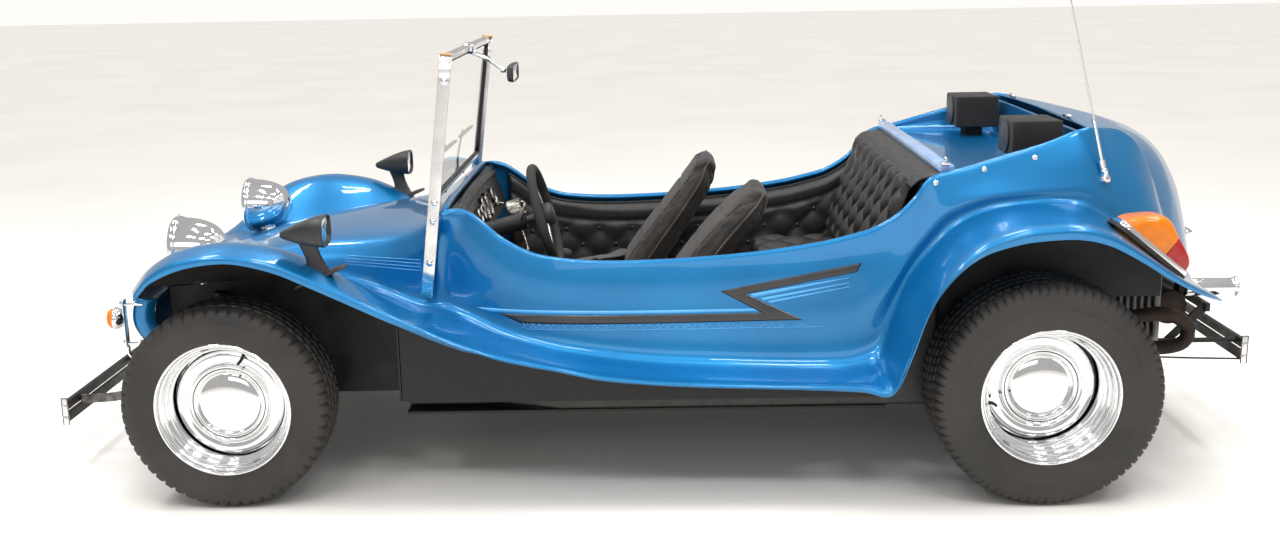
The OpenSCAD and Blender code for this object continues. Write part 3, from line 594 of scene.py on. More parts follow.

# both lens materials glow faintly on their own: a painted glow standing in for the room's light shining through
# the lenses
amber_plastic = glass("amber_plastic", (1.0, 0.27, 0.004), 0.16, 420.0, (0, 0, 1), 0.35,
                      emission_strength=0.12, emission_color=(1.0, 0.3, 0.0, 1))
red_plastic = glass("red_plastic", (0.5, 0.002, 0.003), 0.2, 420.0, (0, 0, 1), 0.15, emission_strength=0.04,
                    emission_color=(0.8, 0.0, 0.0, 1))
signal_at = np.array((1.65, 0.452, 0.519))
signal_back = refine([(0, -0.032), (0.018, -0.028), (0.029, -0.016), (0.034, -0.004), (0.0345, 0.001),
                      (0.031, 0.002), (0, 0.002)], 3)
bracket_z = np.linspace(0.43, 0.578, 12)[:, None]
bracket_ring = rounded_outline((-0.0025, -0.0155), (0.0025, 0.0155), 0.002, 3)
bracket = np.stack([1.6215 + bracket_ring[:, 0] + 0 * bracket_z, 0.452 + bracket_ring[:, 1] + 0 * bracket_z,
                    bracket_z + 0 * bracket_ring[:, 0]], -1)
bracket = np.concatenate([bracket[:1] * 0 + bracket[:1].mean(1, keepdims=True), bracket,
                          bracket[-1:] * 0 + bracket[-1:].mean(1, keepdims=True)])
foot_bolts = [lathe([(0, 0.012), (0.006, 0.011), (0.0085, 0.006), (0.009, 0)], (1.624, 0.452, z), (1, 0, 0),
                    12)
              for z in (0.442, 0.566)]
ride(grid_object("indicator_backs",
                 both([lathe(signal_back, signal_at, (1, 0, 0), 36), bracket, *foot_bolts]), chrome,
                 0.0002),
     "chassis", "chrome", "lamp_housings")
signal_lens = refine([(0.0312, 0.001), (0.031, 0.008), (0.0285, 0.017), (0.02, 0.023), (0.008, 0.0245),
                      (0, 0.0245)], 3)
tail_at, tail_slope = np.array((-1.344, 0.700, 0.822)), math.radians(39)
tail_down = np.array((-math.cos(tail_slope), 0, -math.sin(tail_slope)))
tail_out = np.array((-math.sin(tail_slope), 0, math.cos(tail_slope)))
# the wedge's spine: distance down the fender and height above it, with the half-width there
SPINE = refine([(4, 2, 40), (10, 26, 47), (34, 52, 54), (66, 80, 57), (90, 91, 57), (116, 87, 56),
                (141, 76, 55), (166, 66, 53), (195, 55, 50), (220, 43, 44), (233, 28, 37),
                (236, 3, 28)], 6) / 1000


def wedge(first, last, grow=0.0):
    """Part of the tail lamp between two places along its spine: an arched skin over the fender's slope."""
    spots = SPINE[first:last]
    turn = np.linspace(0, np.pi, 25)
    arch_y = -np.sign(np.cos(turn)) * np.abs(np.cos(turn)) ** 0.35
    arch_h = np.sin(turn) ** 0.4
    rise = (spots[:, None, 1:2] + grow) * arch_h[:, None] * tail_out
    spread = (spots[:, None, 2:] + grow) * arch_y[:, None] * (0, 1, 0)
    shell = tail_at + spots[:, None, :1] * tail_down + rise + spread
    return np.concatenate([shell[:1] * 0 + shell[:1].mean(1, keepdims=True), shell,
                           shell[-1:] * 0 + shell[-1:].mean(1, keepdims=True)])


split = 39
ride(grid_object("amber_lens_mouldings",
                 both([lathe(signal_lens, signal_at, (1, 0, 0), 36), wedge(0, split)]), amber_plastic,
                 0.0002),
     "chassis", "amber_plastic", "amber_lenses")
ride(grid_object("red_lens_mouldings", both([wedge(split, len(SPINE))]), red_plastic, 0.0002), "chassis",
     "red_plastic", "red_lenses")


def base_band(heights, sizes):
    """Band round the tail lamp's foot: rows at heights above the fender, grown out by sizes, in metres."""
    ring = rounded_outline((0.0, -0.057), (0.238, 0.057), 0.03, 7)
    middle = ring.mean(0)
    narrow = 1 - 0.3 * np.clip(ring[:, 0] / 0.238 - 0.55, 0,
                               1) - 0.12 * np.clip(0.25 - ring[:, 0] / 0.238, 0, 1)
    ring = np.stack([ring[:, 0], ring[:, 1] * narrow], -1)
    away = ring - middle
    away /= np.linalg.norm(away, axis=1)[:, None]
    rows = [(ring + away * size, height) for height, size in zip(heights, sizes)]
    return np.array([tail_at + r[:, :1] * tail_down + r[:, 1:] * (0, 1, 0) + h * tail_out for r, h in rows])


rim_band = base_band((-0.006, 0.006, 0.009, 0.0085, 0.004), (0.0075, 0.007, 0.004, 0.0, -0.001))
gasket_band = base_band((-0.016, -0.004, -0.0035, -0.01), (0.011, 0.0105, -0.01, -0.012))
ride(grid_object("tail_lamp_rims", both([rim_band]), chrome), "chassis", "chrome")
rubber = worn("black_rubber", (0.014, 0.0135, 0.013), (0.03, 0.028, 0.027), 20.0, (0.55, 0.8), grain=600.0)
ride(grid_object("tail_lamp_gaskets", both([gasket_band]), rubber), "chassis", "black_rubber")

# ---------------------------------------------------------------- windscreen
# Flat laminated glass between two polished aluminium bars bolted through the cowl's sides, with a header,
# a sill rail and rubber seals; two wiper arms at the foot and a clamp-on mirror under the header.
rake = math.radians(7.4)
screen_up = np.array((-math.sin(rake), 0, math.cos(rake)))
screen_front = np.array((math.cos(rake), 0, math.sin(rake)))
screen_foot = np.array((0.653, 0, 0.584))


def on_screen(forward, aside, height):
    """Point on the windscreen's plane: forward of it, left of the middle and up its slope, in metres."""
    spot = [np.asarray(v, float)[..., None] for v in (forward, aside, height)]
    return screen_foot + spot[0] * screen_front + spot[1] * (0, 1, 0) + spot[2] * screen_up


def rail(corners, start, end, upright=True, edge=0.003, steps=10):
    """Bar of rounded rectangular section on the screen: (forward, other) corners, run from start to end."""
    ring = rounded_outline(corners[0], corners[1], edge, 5)
    run = np.linspace(start, end, steps)[:, None]
    wide, deep = ring[:, 0] + 0 * run, ring[:, 1] + 0 * run
    run = run + 0 * wide
    bar = on_screen(wide, deep, run) if upright else on_screen(wide, run, deep)
    ends = [np.repeat(bar[k].mean(0)[None, None], bar.shape[1], 1) for k in (0, -1)]
    return np.concatenate([ends[0], bar, ends[1]])


aluminium, tree, shader = new_material("polished_aluminium", (0.8, 0.8, 0.8), 0.22, 1.0)
drawn = texture(tree, "Noise", 60.0, (40, 40, 1), detail=3.0)
blotch = texture(tree, "Noise", 14.0, detail=5.0)
tree.links.new(tones(tree, blotch, [(0.3, (0.66, 0.66, 0.665)), (0.65, (0.84, 0.84, 0.84))]),
               shader.inputs["Base Color"])
tree.links.new(tones(tree, blotch, [(0.3, (0.3,) * 3), (0.7, (0.16,) * 3)]), shader.inputs["Roughness"])
bumped(tree, shader, [(drawn, 0.2, 0.0002)])
posts = both([rail(((0.0, 0.515), (0.036, 0.521)), 0.0, 0.733, edge=0.002),
              rail(((0.010, 0.49), (0.028, 0.5135)), 0.262, 0.733)])
cross_rails = [rail(((0.008, 0.713), (0.030, 0.734)), -0.515, 0.515, False, 0.004, 24),
               rail(((0.010, 0.296), (0.028, 0.311)), -0.492, 0.492, False, 0.004, 24)]
bolt = refine([(0, 0.0065), (0.004, 0.006), (0.0075, 0.004), (0.0082, 0.001), (0.0115, 0.0008),
               (0.012, -0.002)], 2)
bolts = both([lathe(bolt, on_screen(0.017, 0.5212, h), (0, 1, 0), 20)
              for h in (0.108, 0.235, 0.655, 0.292)])
ride(grid_object("windscreen_bars", posts + cross_rails, aluminium, 0.0002), "chassis",
     "polished_aluminium", "windscreen_frame")
ride(grid_object("windscreen_bolts", bolts, chrome, 0.0001), "chassis", "chrome")
tan_tape = worn("tan_sealant", (0.55, 0.30, 0.14), (0.75, 0.45, 0.22), 60.0, (0.5, 0.7))
ride(grid_object("header_caps",
                 both([rail(((-0.001, 0.512), (0.0375, 0.5225)), 0.7325, 0.7375, edge=0.002, steps=3)]),
                 tan_tape, 0.0002),
     "chassis", "polished_aluminium")
seals = both([rail(((0.009, 0.4835), (0.030, 0.4915)), 0.3, 0.724)])
seals += [rail(((0.009, 0.3085), (0.030, 0.3155)), -0.488, 0.488, False),
          rail(((0.009, 0.708), (0.030, 0.715)), -0.488, 0.488, False)]
ride(grid_object("glass_seals", seals, rubber, 0.0002), "chassis", "black_rubber")
clear_glass, tree, shader = new_material("clear_glass", (0.94, 0.98, 0.97), 0.01, transmission_weight=1.0,
                                         ior=1.1)
haze = texture(tree, "Noise", 5.0, detail=6.0)
tree.links.new(tones(tree, haze, [(0.45, (0.006,) * 3), (0.75, (0.03,) * 3)]), shader.inputs["Roughness"])
tree.links.new(tones(tree, haze, [(0.3, (0.95, 0.985, 0.98)), (0.7, (0.985, 1.0, 1.0))]),
               shader.inputs["Base Color"])


def dress(node, material):
    """Gives a CAD node that keeps its own shape its finish."""
    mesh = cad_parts[node].data
    mesh.materials.clear()
    mesh.materials.append(material)


dress("windscreen_glass", clear_glass)
wipers = []
for middle, lean in ((0.22, 1), (-0.2, 1)):
    hub = on_screen(0.036, middle, 0.284)
    arm = [on_screen(0.050, middle, 0.284), on_screen(0.056, middle - 0.014 * lean, 0.33),
           on_screen(0.050, middle - 0.04 * lean, 0.42)]
    wipers += [lathe([(0, 0.024), (0.007, 0.022), (0.009, 0.012), (0.0105, -0.012), (0, -0.014)], hub,
                     screen_front, 16),
               tube(arm, [0.0045, 0.0035, 0.003])]
    blade = [on_screen(0.040, middle - 0.19 + 0.33 * k, 0.417) for k in (0, 0.25, 0.5, 0.75, 1)]
    wipers += [tube(blade, [0.002, 0.004, 0.0045, 0.004, 0.002]),
               rail(((0.031, middle - 0.19), (0.036, middle + 0.14)), 0.414, 0.420, edge=0.001, steps=3)]
ride(grid_object("wiper_arms", wipers, rubber, 0.0001), "chassis", "black_rubber", "wipers")

black_plastic = worn("black_plastic", (0.018, 0.018, 0.019), (0.034, 0.033, 0.033), 30.0, (0.35, 0.5),
                     grain=900.0, depth=0.0001)
mirror_glass, tree, shader = new_material("mirror_glass", (0.82, 0.83, 0.84), 0.02, 1.0)
tree.links.new(tones(tree, texture(tree, "Noise", 25.0, detail=4.0),
                     [(0.4, (0.015,) * 3), (0.8, (0.06,) * 3)]), shader.inputs["Roughness"])


def pod(sections, count=40, power=3.2):
    """Loft along x through (x, y, z, half-width, half-height) sections of squared ovals, closed at both ends."""
    spots = np.array(sections, float)
    turn = np.linspace(0, 2 * np.pi, count + 1)
    c, s = np.cos(turn), np.sin(turn)
    oval = np.stack([np.sign(c) * np.abs(c) ** (2 / power), np.sign(s) * np.abs(s) ** (2 / power)], -1)
    points = np.stack(np.broadcast_arrays(spots[:, :1], spots[:, 1:2] + spots[:, 3:4] * oval[:, 0],
                                          spots[:, 2:3] + spots[:, 4:5] * oval[:, 1]), -1)
    ends = [np.repeat(spots[k, :3][None, None], count + 1, 1) for k in (0, -1)]
    return np.concatenate([ends[0], points, ends[1]])


fairing = refine([(1.052, 0.700, 0.822, 0.004, 0.003), (1.046, 0.700, 0.822, 0.016, 0.010),
                  (1.02, 0.700, 0.824, 0.031, 0.02),
                  (0.985, 0.700, 0.827, 0.046, 0.032), (0.95, 0.700, 0.830, 0.056, 0.041),
                  (0.926, 0.700, 0.831, 0.060, 0.0445),
                  (0.919, 0.700, 0.831, 0.0605, 0.045), (0.917, 0.700, 0.831, 0.057, 0.0415),
                  (0.923, 0.700, 0.831, 0.055, 0.0395)], 3)
leg_ring = rounded_outline((-0.03, -0.011), (0.03, 0.011), 0.0105, 6)
leg_rows = [(0.950, 0.690, 0.702, 1.45, 1.7), (0.951, 0.690, 0.714, 1.15, 1.2),
            (0.957, 0.694, 0.742, 0.85, 0.9), (0.966, 0.698, 0.77, 0.8, 0.85),
            (0.974, 0.700, 0.80, 0.95, 1.0), (0.978, 0.700, 0.815, 1.1, 1.1)]
leg = np.array([np.stack([x + leg_ring[:, 0] * a, y + leg_ring[:, 1] * b, 0 * leg_ring[:, 0] + z], -1)
                for x, y, z, a, b in refine(leg_rows, 4)])
pad_ring = rounded_outline((-0.078, -0.024), (0.08, 0.024), 0.023, 8)
pad_rows = [(0.0, 1.0), (0.006, 0.985), (0.0095, 0.93), (0.012, 0.7), (0.014, 0.0)]
pad = np.array([np.stack([0.944 + pad_ring[:, 0] * a, 0.690 + pad_ring[:, 1] * a,
                          0.692 + h - 0.40 * pad_ring[:, 0] * a + 0 * pad_ring[:, 1]], -1) for h,
                a in pad_rows])
ride(grid_object("wing_mirror_bodies", both([pod(fairing), leg, pad]), black_plastic, 0.0002), "chassis",
     "black_plastic", "fender_mirrors")
ride(grid_object("wing_mirror_glass",
                 both([pod([(0.9215, 0.700, 0.831, 0.055, 0.0395),
                            (0.9205, 0.700, 0.831, 0.0545, 0.039)])]), mirror_glass, 0.0001),
     "chassis", "chrome")

inner = pod([(0.448, 0.0, 1.221, 0.080, 0.020), (0.445, 0.0, 1.221, 0.090, 0.026),
             (0.438, 0.0, 1.221, 0.094, 0.0285),
             (0.427, 0.0, 1.221, 0.095, 0.029), (0.4255, 0.0, 1.221, 0.092, 0.0265),
             (0.4275, 0.0, 1.221, 0.0905, 0.025)], power=6)
ride(grid_object("inner_mirror_case", [inner], black_plastic, 0.0002), "chassis", "black_plastic",
     "interior_mirror")
ride(grid_object("inner_mirror_glass",
                 [pod([(0.4272, 0.0, 1.221, 0.0905, 0.025), (0.4265, 0.0, 1.221, 0.09, 0.0245)], power=6)],
                 mirror_glass, 0.0001), "chassis", "chrome")
clamp_at = on_screen(0.0, 0.0, 0.712)
arms = [tube([clamp_at + (0.008, 0.03, -0.002), clamp_at + (-0.03, 0.028, -0.018),
              clamp_at + (-0.055, 0.012, -0.034), (0.468, 0, 1.228), (0.446, 0, 1.222)],
             [0.0045, 0.0045, 0.0045, 0.004]),
        tube([clamp_at + (0.008, -0.03, -0.002), clamp_at + (-0.03, -0.028, -0.018),
              clamp_at + (-0.055, -0.012, -0.034), (0.468, 0, 1.228)], 0.0045),
        lathe([(0, 0.011), (0.006, 0.0095), (0.009, 0.004), (0.009, -0.004), (0.006, -0.0095), (0, -0.011)],
              (0.468, 0, 1.228), (1, 0, 0.2), 20),
        rail(((-0.002, 0.706), (0.034, 0.738)), -0.045, 0.045, False, 0.006, 6)]
ride(grid_object("inner_mirror_bracket", arms, chrome, 0.0001), "chassis", "chrome")

# ---------------------------------------------------------------- wheels
# Chrome reverse rims: a spun barrel with a deep outer side, a pressed disc welded inside it, a plain
# domed cap and a rubber valve. Radial tyres with sipes over the shoulders and a faint moulding ring on
# the sidewall.
FRONT = {"x": 1.25, "r": 0.308, "w": 0.205, "face": 0.747, "dish": 0.068, "blocks": 54}
REAR = {"x": -1.15, "r": 0.331, "w": 0.250, "face": 0.815, "dish": 0.112, "blocks": 78}
rim_inset = 0.008
tyre_rubber, tree, shader = new_material("tyre_rubber", (0.03, 0.027, 0.025), 0.62)
dust = texture(tree, "Noise", 7.0, detail=6.0)
tree.links.new(tones(tree, dust, [(0.35, (0.018, 0.0165, 0.0155)), (0.7, (0.042, 0.037, 0.033))]),
               shader.inputs["Base Color"])
tree.links.new(tones(tree, dust, [(0.3, (0.5,) * 3), (0.7, (0.72,) * 3)]), shader.inputs["Roughness"])
bumped(tree, shader, [(texture(tree, "Noise", 500.0, detail=2.0), 0.3, 0.0003)])


def tyre_surface(wheel, side):
    """Lathed tyre: a closed profile of (radius, depth) pairs, with the tread's grooves cut into its radius.
    Wide grooves run round it, and slanted sipes cross the shoulders between the blocks."""
    r, w = wheel["r"], wheel["w"]
    half_profile = [(0.192, 0.016), (0.2, 0.009), (0.207, 0.004), (0.216, 0.0015), (0.226, 0.0),
                    (0.238, -0.0012), (0.252, -0.0016), (0.262, -0.0030), (0.265, -0.0012), (0.27, -0.0006),
                    (r - 0.026, 0.004),
                    (r - 0.014, 0.010), (r - 0.007, 0.018), (r - 0.0025, 0.030), (r - 0.0008, 0.045),
                    (r, 0.060), (r, w / 2)]
    shoulder = refine(half_profile[:-2], 2)
    cuts = np.array([(at * w + step) for at in (0.26, 0.42)
                     for step in (-0.0062, -0.0046, -0.0036, 0, 0.0036, 0.0046, 0.0062)])
    tread = cuts[cuts > shoulder[-1, 1] + 0.001]
    crown = np.stack([np.interp(tread, shoulder[-9:, 1], shoulder[-9:, 0]), tread], -1)
    outer = np.concatenate([shoulder, crown, [(r, w / 2)]])
    profile = np.concatenate([outer, outer[-2::-1] * (1, -1) + (0, w)])
    count = wheel["blocks"] * 8
    turn = np.linspace(0, 2 * np.pi, count + 1)[None, :]
    radius, depth = profile[:, :1], profile[:, 1:]
    place = depth / w
    on_tread = 1 / (1 + np.exp(-(radius - (r - 0.021)) / 0.0012))
    grooves = sum(np.exp(-(((place - at) * w / 0.0042) ** 4)) for at in (0.26, 0.42, 0.58, 0.74))
    slant = 5.0 * np.abs(place - 0.5) * np.where(place < 0.5, 1, -1)
    phase = wheel["blocks"] * turn + slant
    sipes = np.clip((np.cos(phase) - 0.72) / 0.12, 0, 1)
    middle = np.clip((np.cos(wheel["blocks"] * turn - 3 * slant + 1.3) - 0.78) / 0.12, 0, 1)
    edge = np.abs(place - 0.5) > 0.24
    cut = np.maximum(np.clip(grooves, 0, 1), np.where(edge, sipes, middle * 0.7)) * on_tread
    low = radius - 0.0062 * cut
    sideways = np.where(place < 0.5, 1, -1) * 0.0022 * sipes * on_tread * edge
    y = (wheel["face"] - depth - sideways) * side
    turned = turn * side
    return np.stack([wheel["x"] + low * np.cos(turned), y + 0 * turned, wheel["r"] + low * np.sin(turned)],
                    -1)


def barrel(wheel, side):
    """Lathed rim, disc and cap of one wheel, from profiles of (radius, depth) pairs."""
    width, dish = wheel["w"] - 2 * rim_inset, wheel["dish"]
    lip = [(0.1985, 0.012), (0.2015, 0.0095), (0.2032, 0.004), (0.2025, -0.001), (0.1995, -0.0032),
           (0.1955, -0.002),
           (0.1935, 0.003), (0.1925, 0.010), (0.1905, 0.0145), (0.1875, 0.0155), (0.186, 0.019),
           (0.185, 0.03), (0.1835, 0.037), (0.180, 0.041), (0.1765, 0.0435), (0.175, 0.048), (0.174, 0.054),
           (0.1715, 0.0565), (0.1685, 0.058), (0.1675, 0.062), (0.1665, 0.075), (0.1655, dish + 0.03)]
    inner = [(0.1655, dish + 0.03), (0.166, width - 0.06), (0.17, width - 0.046), (0.184, width - 0.03),
             (0.188, width - 0.01),
             (0.1995, width - 0.006), (0.2025, width), (0.1995, width + 0.002), (0.19, width - 0.002)]
    disc = [(0.1640, dish + 0.03), (0.1625, dish + 0.018), (0.158, dish + 0.009), (0.151, dish + 0.0045),
            (0.142, dish + 0.0035),
            (0.134, dish + 0.005), (0.127, dish + 0.0075), (0.1225, dish + 0.0065), (0.119, dish - 0.0005),
            (0.1155, dish - 0.0045),
            (0.111, dish - 0.0045), (0.1085, dish - 0.001), (0.1075, dish + 0.004), (0.09, dish + 0.01),
            (0.05, dish + 0.018)]
    cap = [(0.1062, dish + 0.004), (0.1068, dish), (0.1052, dish - 0.0022), (0.1018, dish - 0.001),
           (0.0995, dish + 0.0005),
           (0.0965, dish - 0.0035), (0.09, dish - 0.0085), (0.078, dish - 0.0135), (0.062, dish - 0.0172),
           (0.042, dish - 0.0198), (0.02, dish - 0.0212), (0, dish - 0.0216)]
    at = (wheel["x"], side * (wheel["face"] - rim_inset), wheel["r"])
    parts = [refine(lip, 2), refine(inner, 2), refine(disc, 2), refine(cap, 2)]
    return [lathe(part * (1, -1), at, (0, side, 0), 64) for part in parts]


weight_lead = worn("rim_weights", (0.2, 0.2, 0.21), (0.32, 0.32, 0.33), 80.0, (0.4, 0.6), 0.8)
for end, wheel, valve_turn in (("front", FRONT, 1.95), ("rear", REAR, -0.25)):
    for hand, side in (("left", 1), ("right", -1)):
        body_name = f"{end}_{hand}_wheel"
        tyre = grid_object(f"tyre_{end}_{hand}_moulding", [tyre_surface(wheel, side)], tyre_rubber, 0.0001,
                           outwards=False)
        ride(tyre, body_name, "tyre_rubber", f"tyre_{end}_{hand}")
        rim_piece = grid_object(f"rim_{end}_{hand}_chrome", barrel(wheel, side), chrome, 0.0002,
                                outwards=False)
        modifier(rim_piece, "SOLIDIFY", thickness=0.0025, offset=-1.0)
        ride(rim_piece, body_name, "chrome", f"rim_{end}_{hand}")
        centre = np.array((wheel["x"], side * (wheel["face"] - rim_inset - wheel["dish"]), wheel["r"]))
        out = np.array((math.cos(valve_turn), 0, math.sin(valve_turn)))
        foot = centre + out * 0.166 + (0, side * 0.018, 0)
        valve = [tube([foot, foot - out * 0.012 + (0, side * 0.012, 0),
                       foot - out * 0.017 + (0, side * 0.034, 0)], [0.0062, 0.0048, 0.0042])]
        cap_foot = foot - out * 0.017 + (0, side * 0.033, 0)
        valve.append(lathe([(0, 0.011), (0.0034, 0.0105), (0.0042, 0.008), (0.0042, 0.0), (0, -0.001)],
                           cap_foot, (0, side, 0), 14))
        ride(grid_object(f"valve_{end}_{hand}", valve, rubber, 0.0001), body_name, "black_rubber")
        weights = []
        for turned in (valve_turn - 0.62, valve_turn + 2.3):
            sweep_turn = np.linspace(-0.075, 0.075, 12) + turned
            rail_line = np.stack([wheel["x"] + 0.1835 * np.cos(sweep_turn),
                                  0 * sweep_turn + side * (wheel["face"] - rim_inset - 0.024),
                                  wheel["r"] + 0.1835 * np.sin(sweep_turn)], -1)
            weights.append(tube(rail_line, [0.001, 0.0042, 0.0042, 0.001], 10, 1))
        ride(grid_object(f"weights_{end}_{hand}", weights, weight_lead, 0.0001), body_name, "cast_steel")

# ---------------------------------------------------------------- dashboard and controls
# Padded vinyl dash under the cowl with chrome-ringed dials, toggle switches and a chrome-ringed
# tachometer on the column; a three-spoke wheel with a foam grip, two chrome column levers, a gear lever
# and a hand brake.


def leather(name, dark, light, grain=420.0, depth=0.0006, **more):
    """Grained vinyl: pebbles from small cells over soft creases, a little shinier on the high spots."""
    made, tree, shader = new_material(name, light, 0.45, **more)
    cells = texture(tree, "Voronoi", grain, feature="DISTANCE_TO_EDGE")
    creases = texture(tree, "Noise", 38.0, detail=6.0, roughness=0.65)
    tree.links.new(tones(tree, creases, [(0.3, dark), (0.7, light)]), shader.inputs["Base Color"])
    tree.links.new(tones(tree, creases, [(0.3, (0.56,) * 3), (0.7, (0.36,) * 3)]),
                   shader.inputs["Roughness"])
    bumped(tree, shader, [(creases, 0.35, 0.0015), (cells, 0.3, depth)])
    return made


black_vinyl = leather("black_vinyl", (0.009, 0.008, 0.0075), (0.021, 0.019, 0.018))
dress("dashboard", black_vinyl)
dash_y = np.linspace(-0.487, 0.487, 60)
hood = refine([(0.598, 0.846), (0.586, 0.850), (0.566, 0.846), (0.560, 0.836), (0.566, 0.827),
               (0.58, 0.825)], 5)
visor = np.stack([hood[:, :1] + 0 * dash_y, dash_y + 0 * hood[:, :1],
                  hood[:, 1:] - 0.02 * (dash_y / 0.487) ** 2], -1)
ride(grid_object("dash_roll", [visor], black_vinyl), "chassis", "black_vinyl")
dial_face, tree, shader = new_material("dial_face", (0.012, 0.012, 0.013), 0.35, coat_weight=1.0,
                                       coat_roughness=0.02)
dust = texture(tree, "Noise", 60.0, detail=3.0)
tree.links.new(tones(tree, dust, [(0.4, (0.010, 0.010, 0.011)), (0.8, (0.026, 0.024, 0.022))]),
               shader.inputs["Base Color"])
# the dial rings and column levers are darkened to brownish grey: a painted reflection of the cabin's brown tones
# in place of bright chrome
dash_chrome = worn("dash_chrome", (0.16, 0.14, 0.12), (0.46, 0.43, 0.40), 45.0, (0.12, 0.3), 1.0, 200.0,
                   0.0001)
dial_white = worn("dial_white", (0.45, 0.44, 0.41), (0.62, 0.61, 0.58), 80.0, (0.4, 0.5))
GAUGES = ((0.180, 0.026), (0.110, 0.026), (0.040, 0.042), (-0.050, 0.042), (-0.200, 0.034))
dash_out = np.array((-math.sin(math.radians(72)), 0, math.cos(math.radians(72))))
bezels, faces, ticks = [], [], []


def dial(at, radius, out):
    """Chrome ring with a domed glass face inside it, as (ring, face) grids."""
    ring = refine([(radius * 0.86, 0.006), (radius * 0.9, 0.0125), (radius * 0.97, 0.0135), (radius, 0.009),
                   (radius, 0)], 3)
    glass_face = refine([(0, 0.0105), (radius * 0.5, 0.010), (radius * 0.88, 0.0078)], 3)
    return lathe(ring, at, out, 40), lathe(glass_face, at, out, 40)


def dial_marks(at, radius, out):
    """Eleven short strokes round a dial from lower left to lower right, and a needle resting on one."""
    out = np.asarray(out, float)
    upward = np.cross((0, 1, 0), out) * -1
    strokes = []
    for k, angle in enumerate(np.radians(np.linspace(-125, 125, 11))):
        way = math.cos(angle) * upward + math.sin(angle) * np.array((0, 1, 0))
        spot = np.asarray(at) + out * 0.0092
        inner = 0.05 if k == 2 else 0.66
        strokes.append(tube([spot + way * radius * inner, spot + way * radius * 0.8], 0.0007, 6, 1))
    return strokes


for y, radius in GAUGES:
    ring, face_grid = dial((0.549, y, 0.770), radius, dash_out)
    bezels.append(ring)
    faces.append(face_grid)
    ticks += dial_marks((0.549, y, 0.770), radius, dash_out)
column = np.array((-math.cos(math.radians(14.7)), 0, math.sin(math.radians(14.7))))
tach_at = np.array((0.440, 0.268, 0.796))
can = refine([(0, -0.002), (0.03, 0.0), (0.036, 0.004), (0.038, 0.012), (0.038, 0.032)], 3)
bezels.append(lathe(can, tach_at, column, 40))
ring, face_grid = dial(tach_at + column * 0.032, 0.0385, column)
bezels.append(ring)
faces.append(face_grid)
ticks += dial_marks(tach_at + column * 0.032, 0.0385, column)
knobs = []
for k, y in enumerate((0.24, 0.275, -0.12, -0.28)):
    knob_at = np.array((0.541, y, 0.752 - 0.012 * (k % 2)))
    knobs.append(lathe([(0.0075, 0), (0.0075, 0.004), (0.004, 0.005), (0.0024, 0.006), (0.0028, 0.02),
                        (0.0045, 0.024), (0, 0.0265)],
                            knob_at, dash_out + (0, 0, 0.5 * (-1) ** k), 16))
wheel_at = np.array((0.318, 0.330, 0.800))
for way, reach in (((0, 0.93, 0.36), 0.125), ((0, 0.60, -0.80), 0.11)):
    start = wheel_at - column * 0.075 + np.array(way) * 0.025
    stop = wheel_at - column * 0.052 + np.array(way) * reach
    knobs.append(tube([start, (start + stop) / 2 + (0, 0, 0.004), stop], [0.004, 0.0034, 0.0042]))
knobs.append(tube([wheel_at - column * 0.085 + (0, -0.02, 0.02),
                   wheel_at - column * 0.07 + (0, -0.045, 0.05),
                        tach_at + column * 0.01 + (0, 0.0, 0.034)], 0.0035))
ride(grid_object("dial_rings", bezels + knobs, dash_chrome, 0.0001), "chassis", "chrome", "gauges")
ride(grid_object("dial_faces", faces, dial_face, 0.0001), "chassis", "black_plastic")
ride(grid_object("dial_marks", ticks, dial_white, 0.0001), "chassis", "polished_aluminium")

black_paint, tree, shader = new_material("black_paint", (0.02, 0.02, 0.021), 0.42)
shader.inputs["Specular IOR Level"].default_value = 0.3
grime = texture(tree, "Noise", 8.0, detail=8.0, roughness=0.7)
tree.links.new(tones(tree, grime,
                     [(0.4, (0.012, 0.012, 0.0125)), (0.62, (0.026, 0.025, 0.024)),
                      (0.78, (0.075, 0.062, 0.05))]),
               shader.inputs["Base Color"])
tree.links.new(tones(tree, grime, [(0.35, (0.34,) * 3), (0.75, (0.75,) * 3)]), shader.inputs["Roughness"])
bumped(tree, shader, [(texture(tree, "Noise", 240.0, detail=3.0), 0.25, 0.0004)])
for name in ("steering_column", "floor_pan", "sills", "wheel_wells", "front_axle", "rear_axle"):
    dress(name, black_paint)

foam = worn("foam_grip", (0.012, 0.012, 0.012), (0.026, 0.025, 0.024), 26.0, (0.7, 0.9), grain=1400.0,
            depth=0.0008)
across_wheel = np.array((0, 1, 0))
up_wheel = np.cross(column, across_wheel)
turn = np.linspace(0, 2 * np.pi, 121)[:, None, None]
small = np.linspace(0, 2 * np.pi, 25)[None, :, None]
ring_way = np.cos(turn) * across_wheel + np.sin(turn) * up_wheel
grip_r = 0.0148 - 0.0006 * np.abs(np.sin(18 * turn)) ** 8
grip = wheel_at + ring_way * (0.150 + grip_r * np.cos(small)) + column * grip_r * np.sin(small)
ride(grid_object("wheel_grip", [grip], foam, 0.0001), "hand_wheel", "foam_grip", "steering_wheel")
spokes = []
for angle in (math.radians(60), math.radians(180), math.radians(300)):
    way = math.cos(angle) * across_wheel + math.sin(angle) * up_wheel
    aside = np.cross(column, way)
    outline = rounded_outline((0.028, -0.015), (0.142, 0.015), 0.006, 4)
    waist = 1 - 0.35 * np.sin(np.pi * (outline[:, 0] - 0.028) / 0.114)
    flat = wheel_at + outline[:, :1] * way + (outline[:, 1] * waist)[:, None] * aside
    middle = flat.mean(0) + 0 * flat
    lift = np.array([0.001, 0.001, 0.0055, 0.0055])[:, None, None] * column
    spokes.append(np.stack([middle, flat, flat, middle]) + lift)
hub = refine([(0, 0.030), (0.012, 0.0295), (0.026, 0.027), (0.034, 0.021), (0.037, 0.012), (0.037, 0.002),
              (0.030, -0.004), (0.016, -0.03), (0.012, -0.06)], 3)
ride(grid_object("wheel_spokes", spokes, aluminium, 0.0001), "hand_wheel", "polished_aluminium")
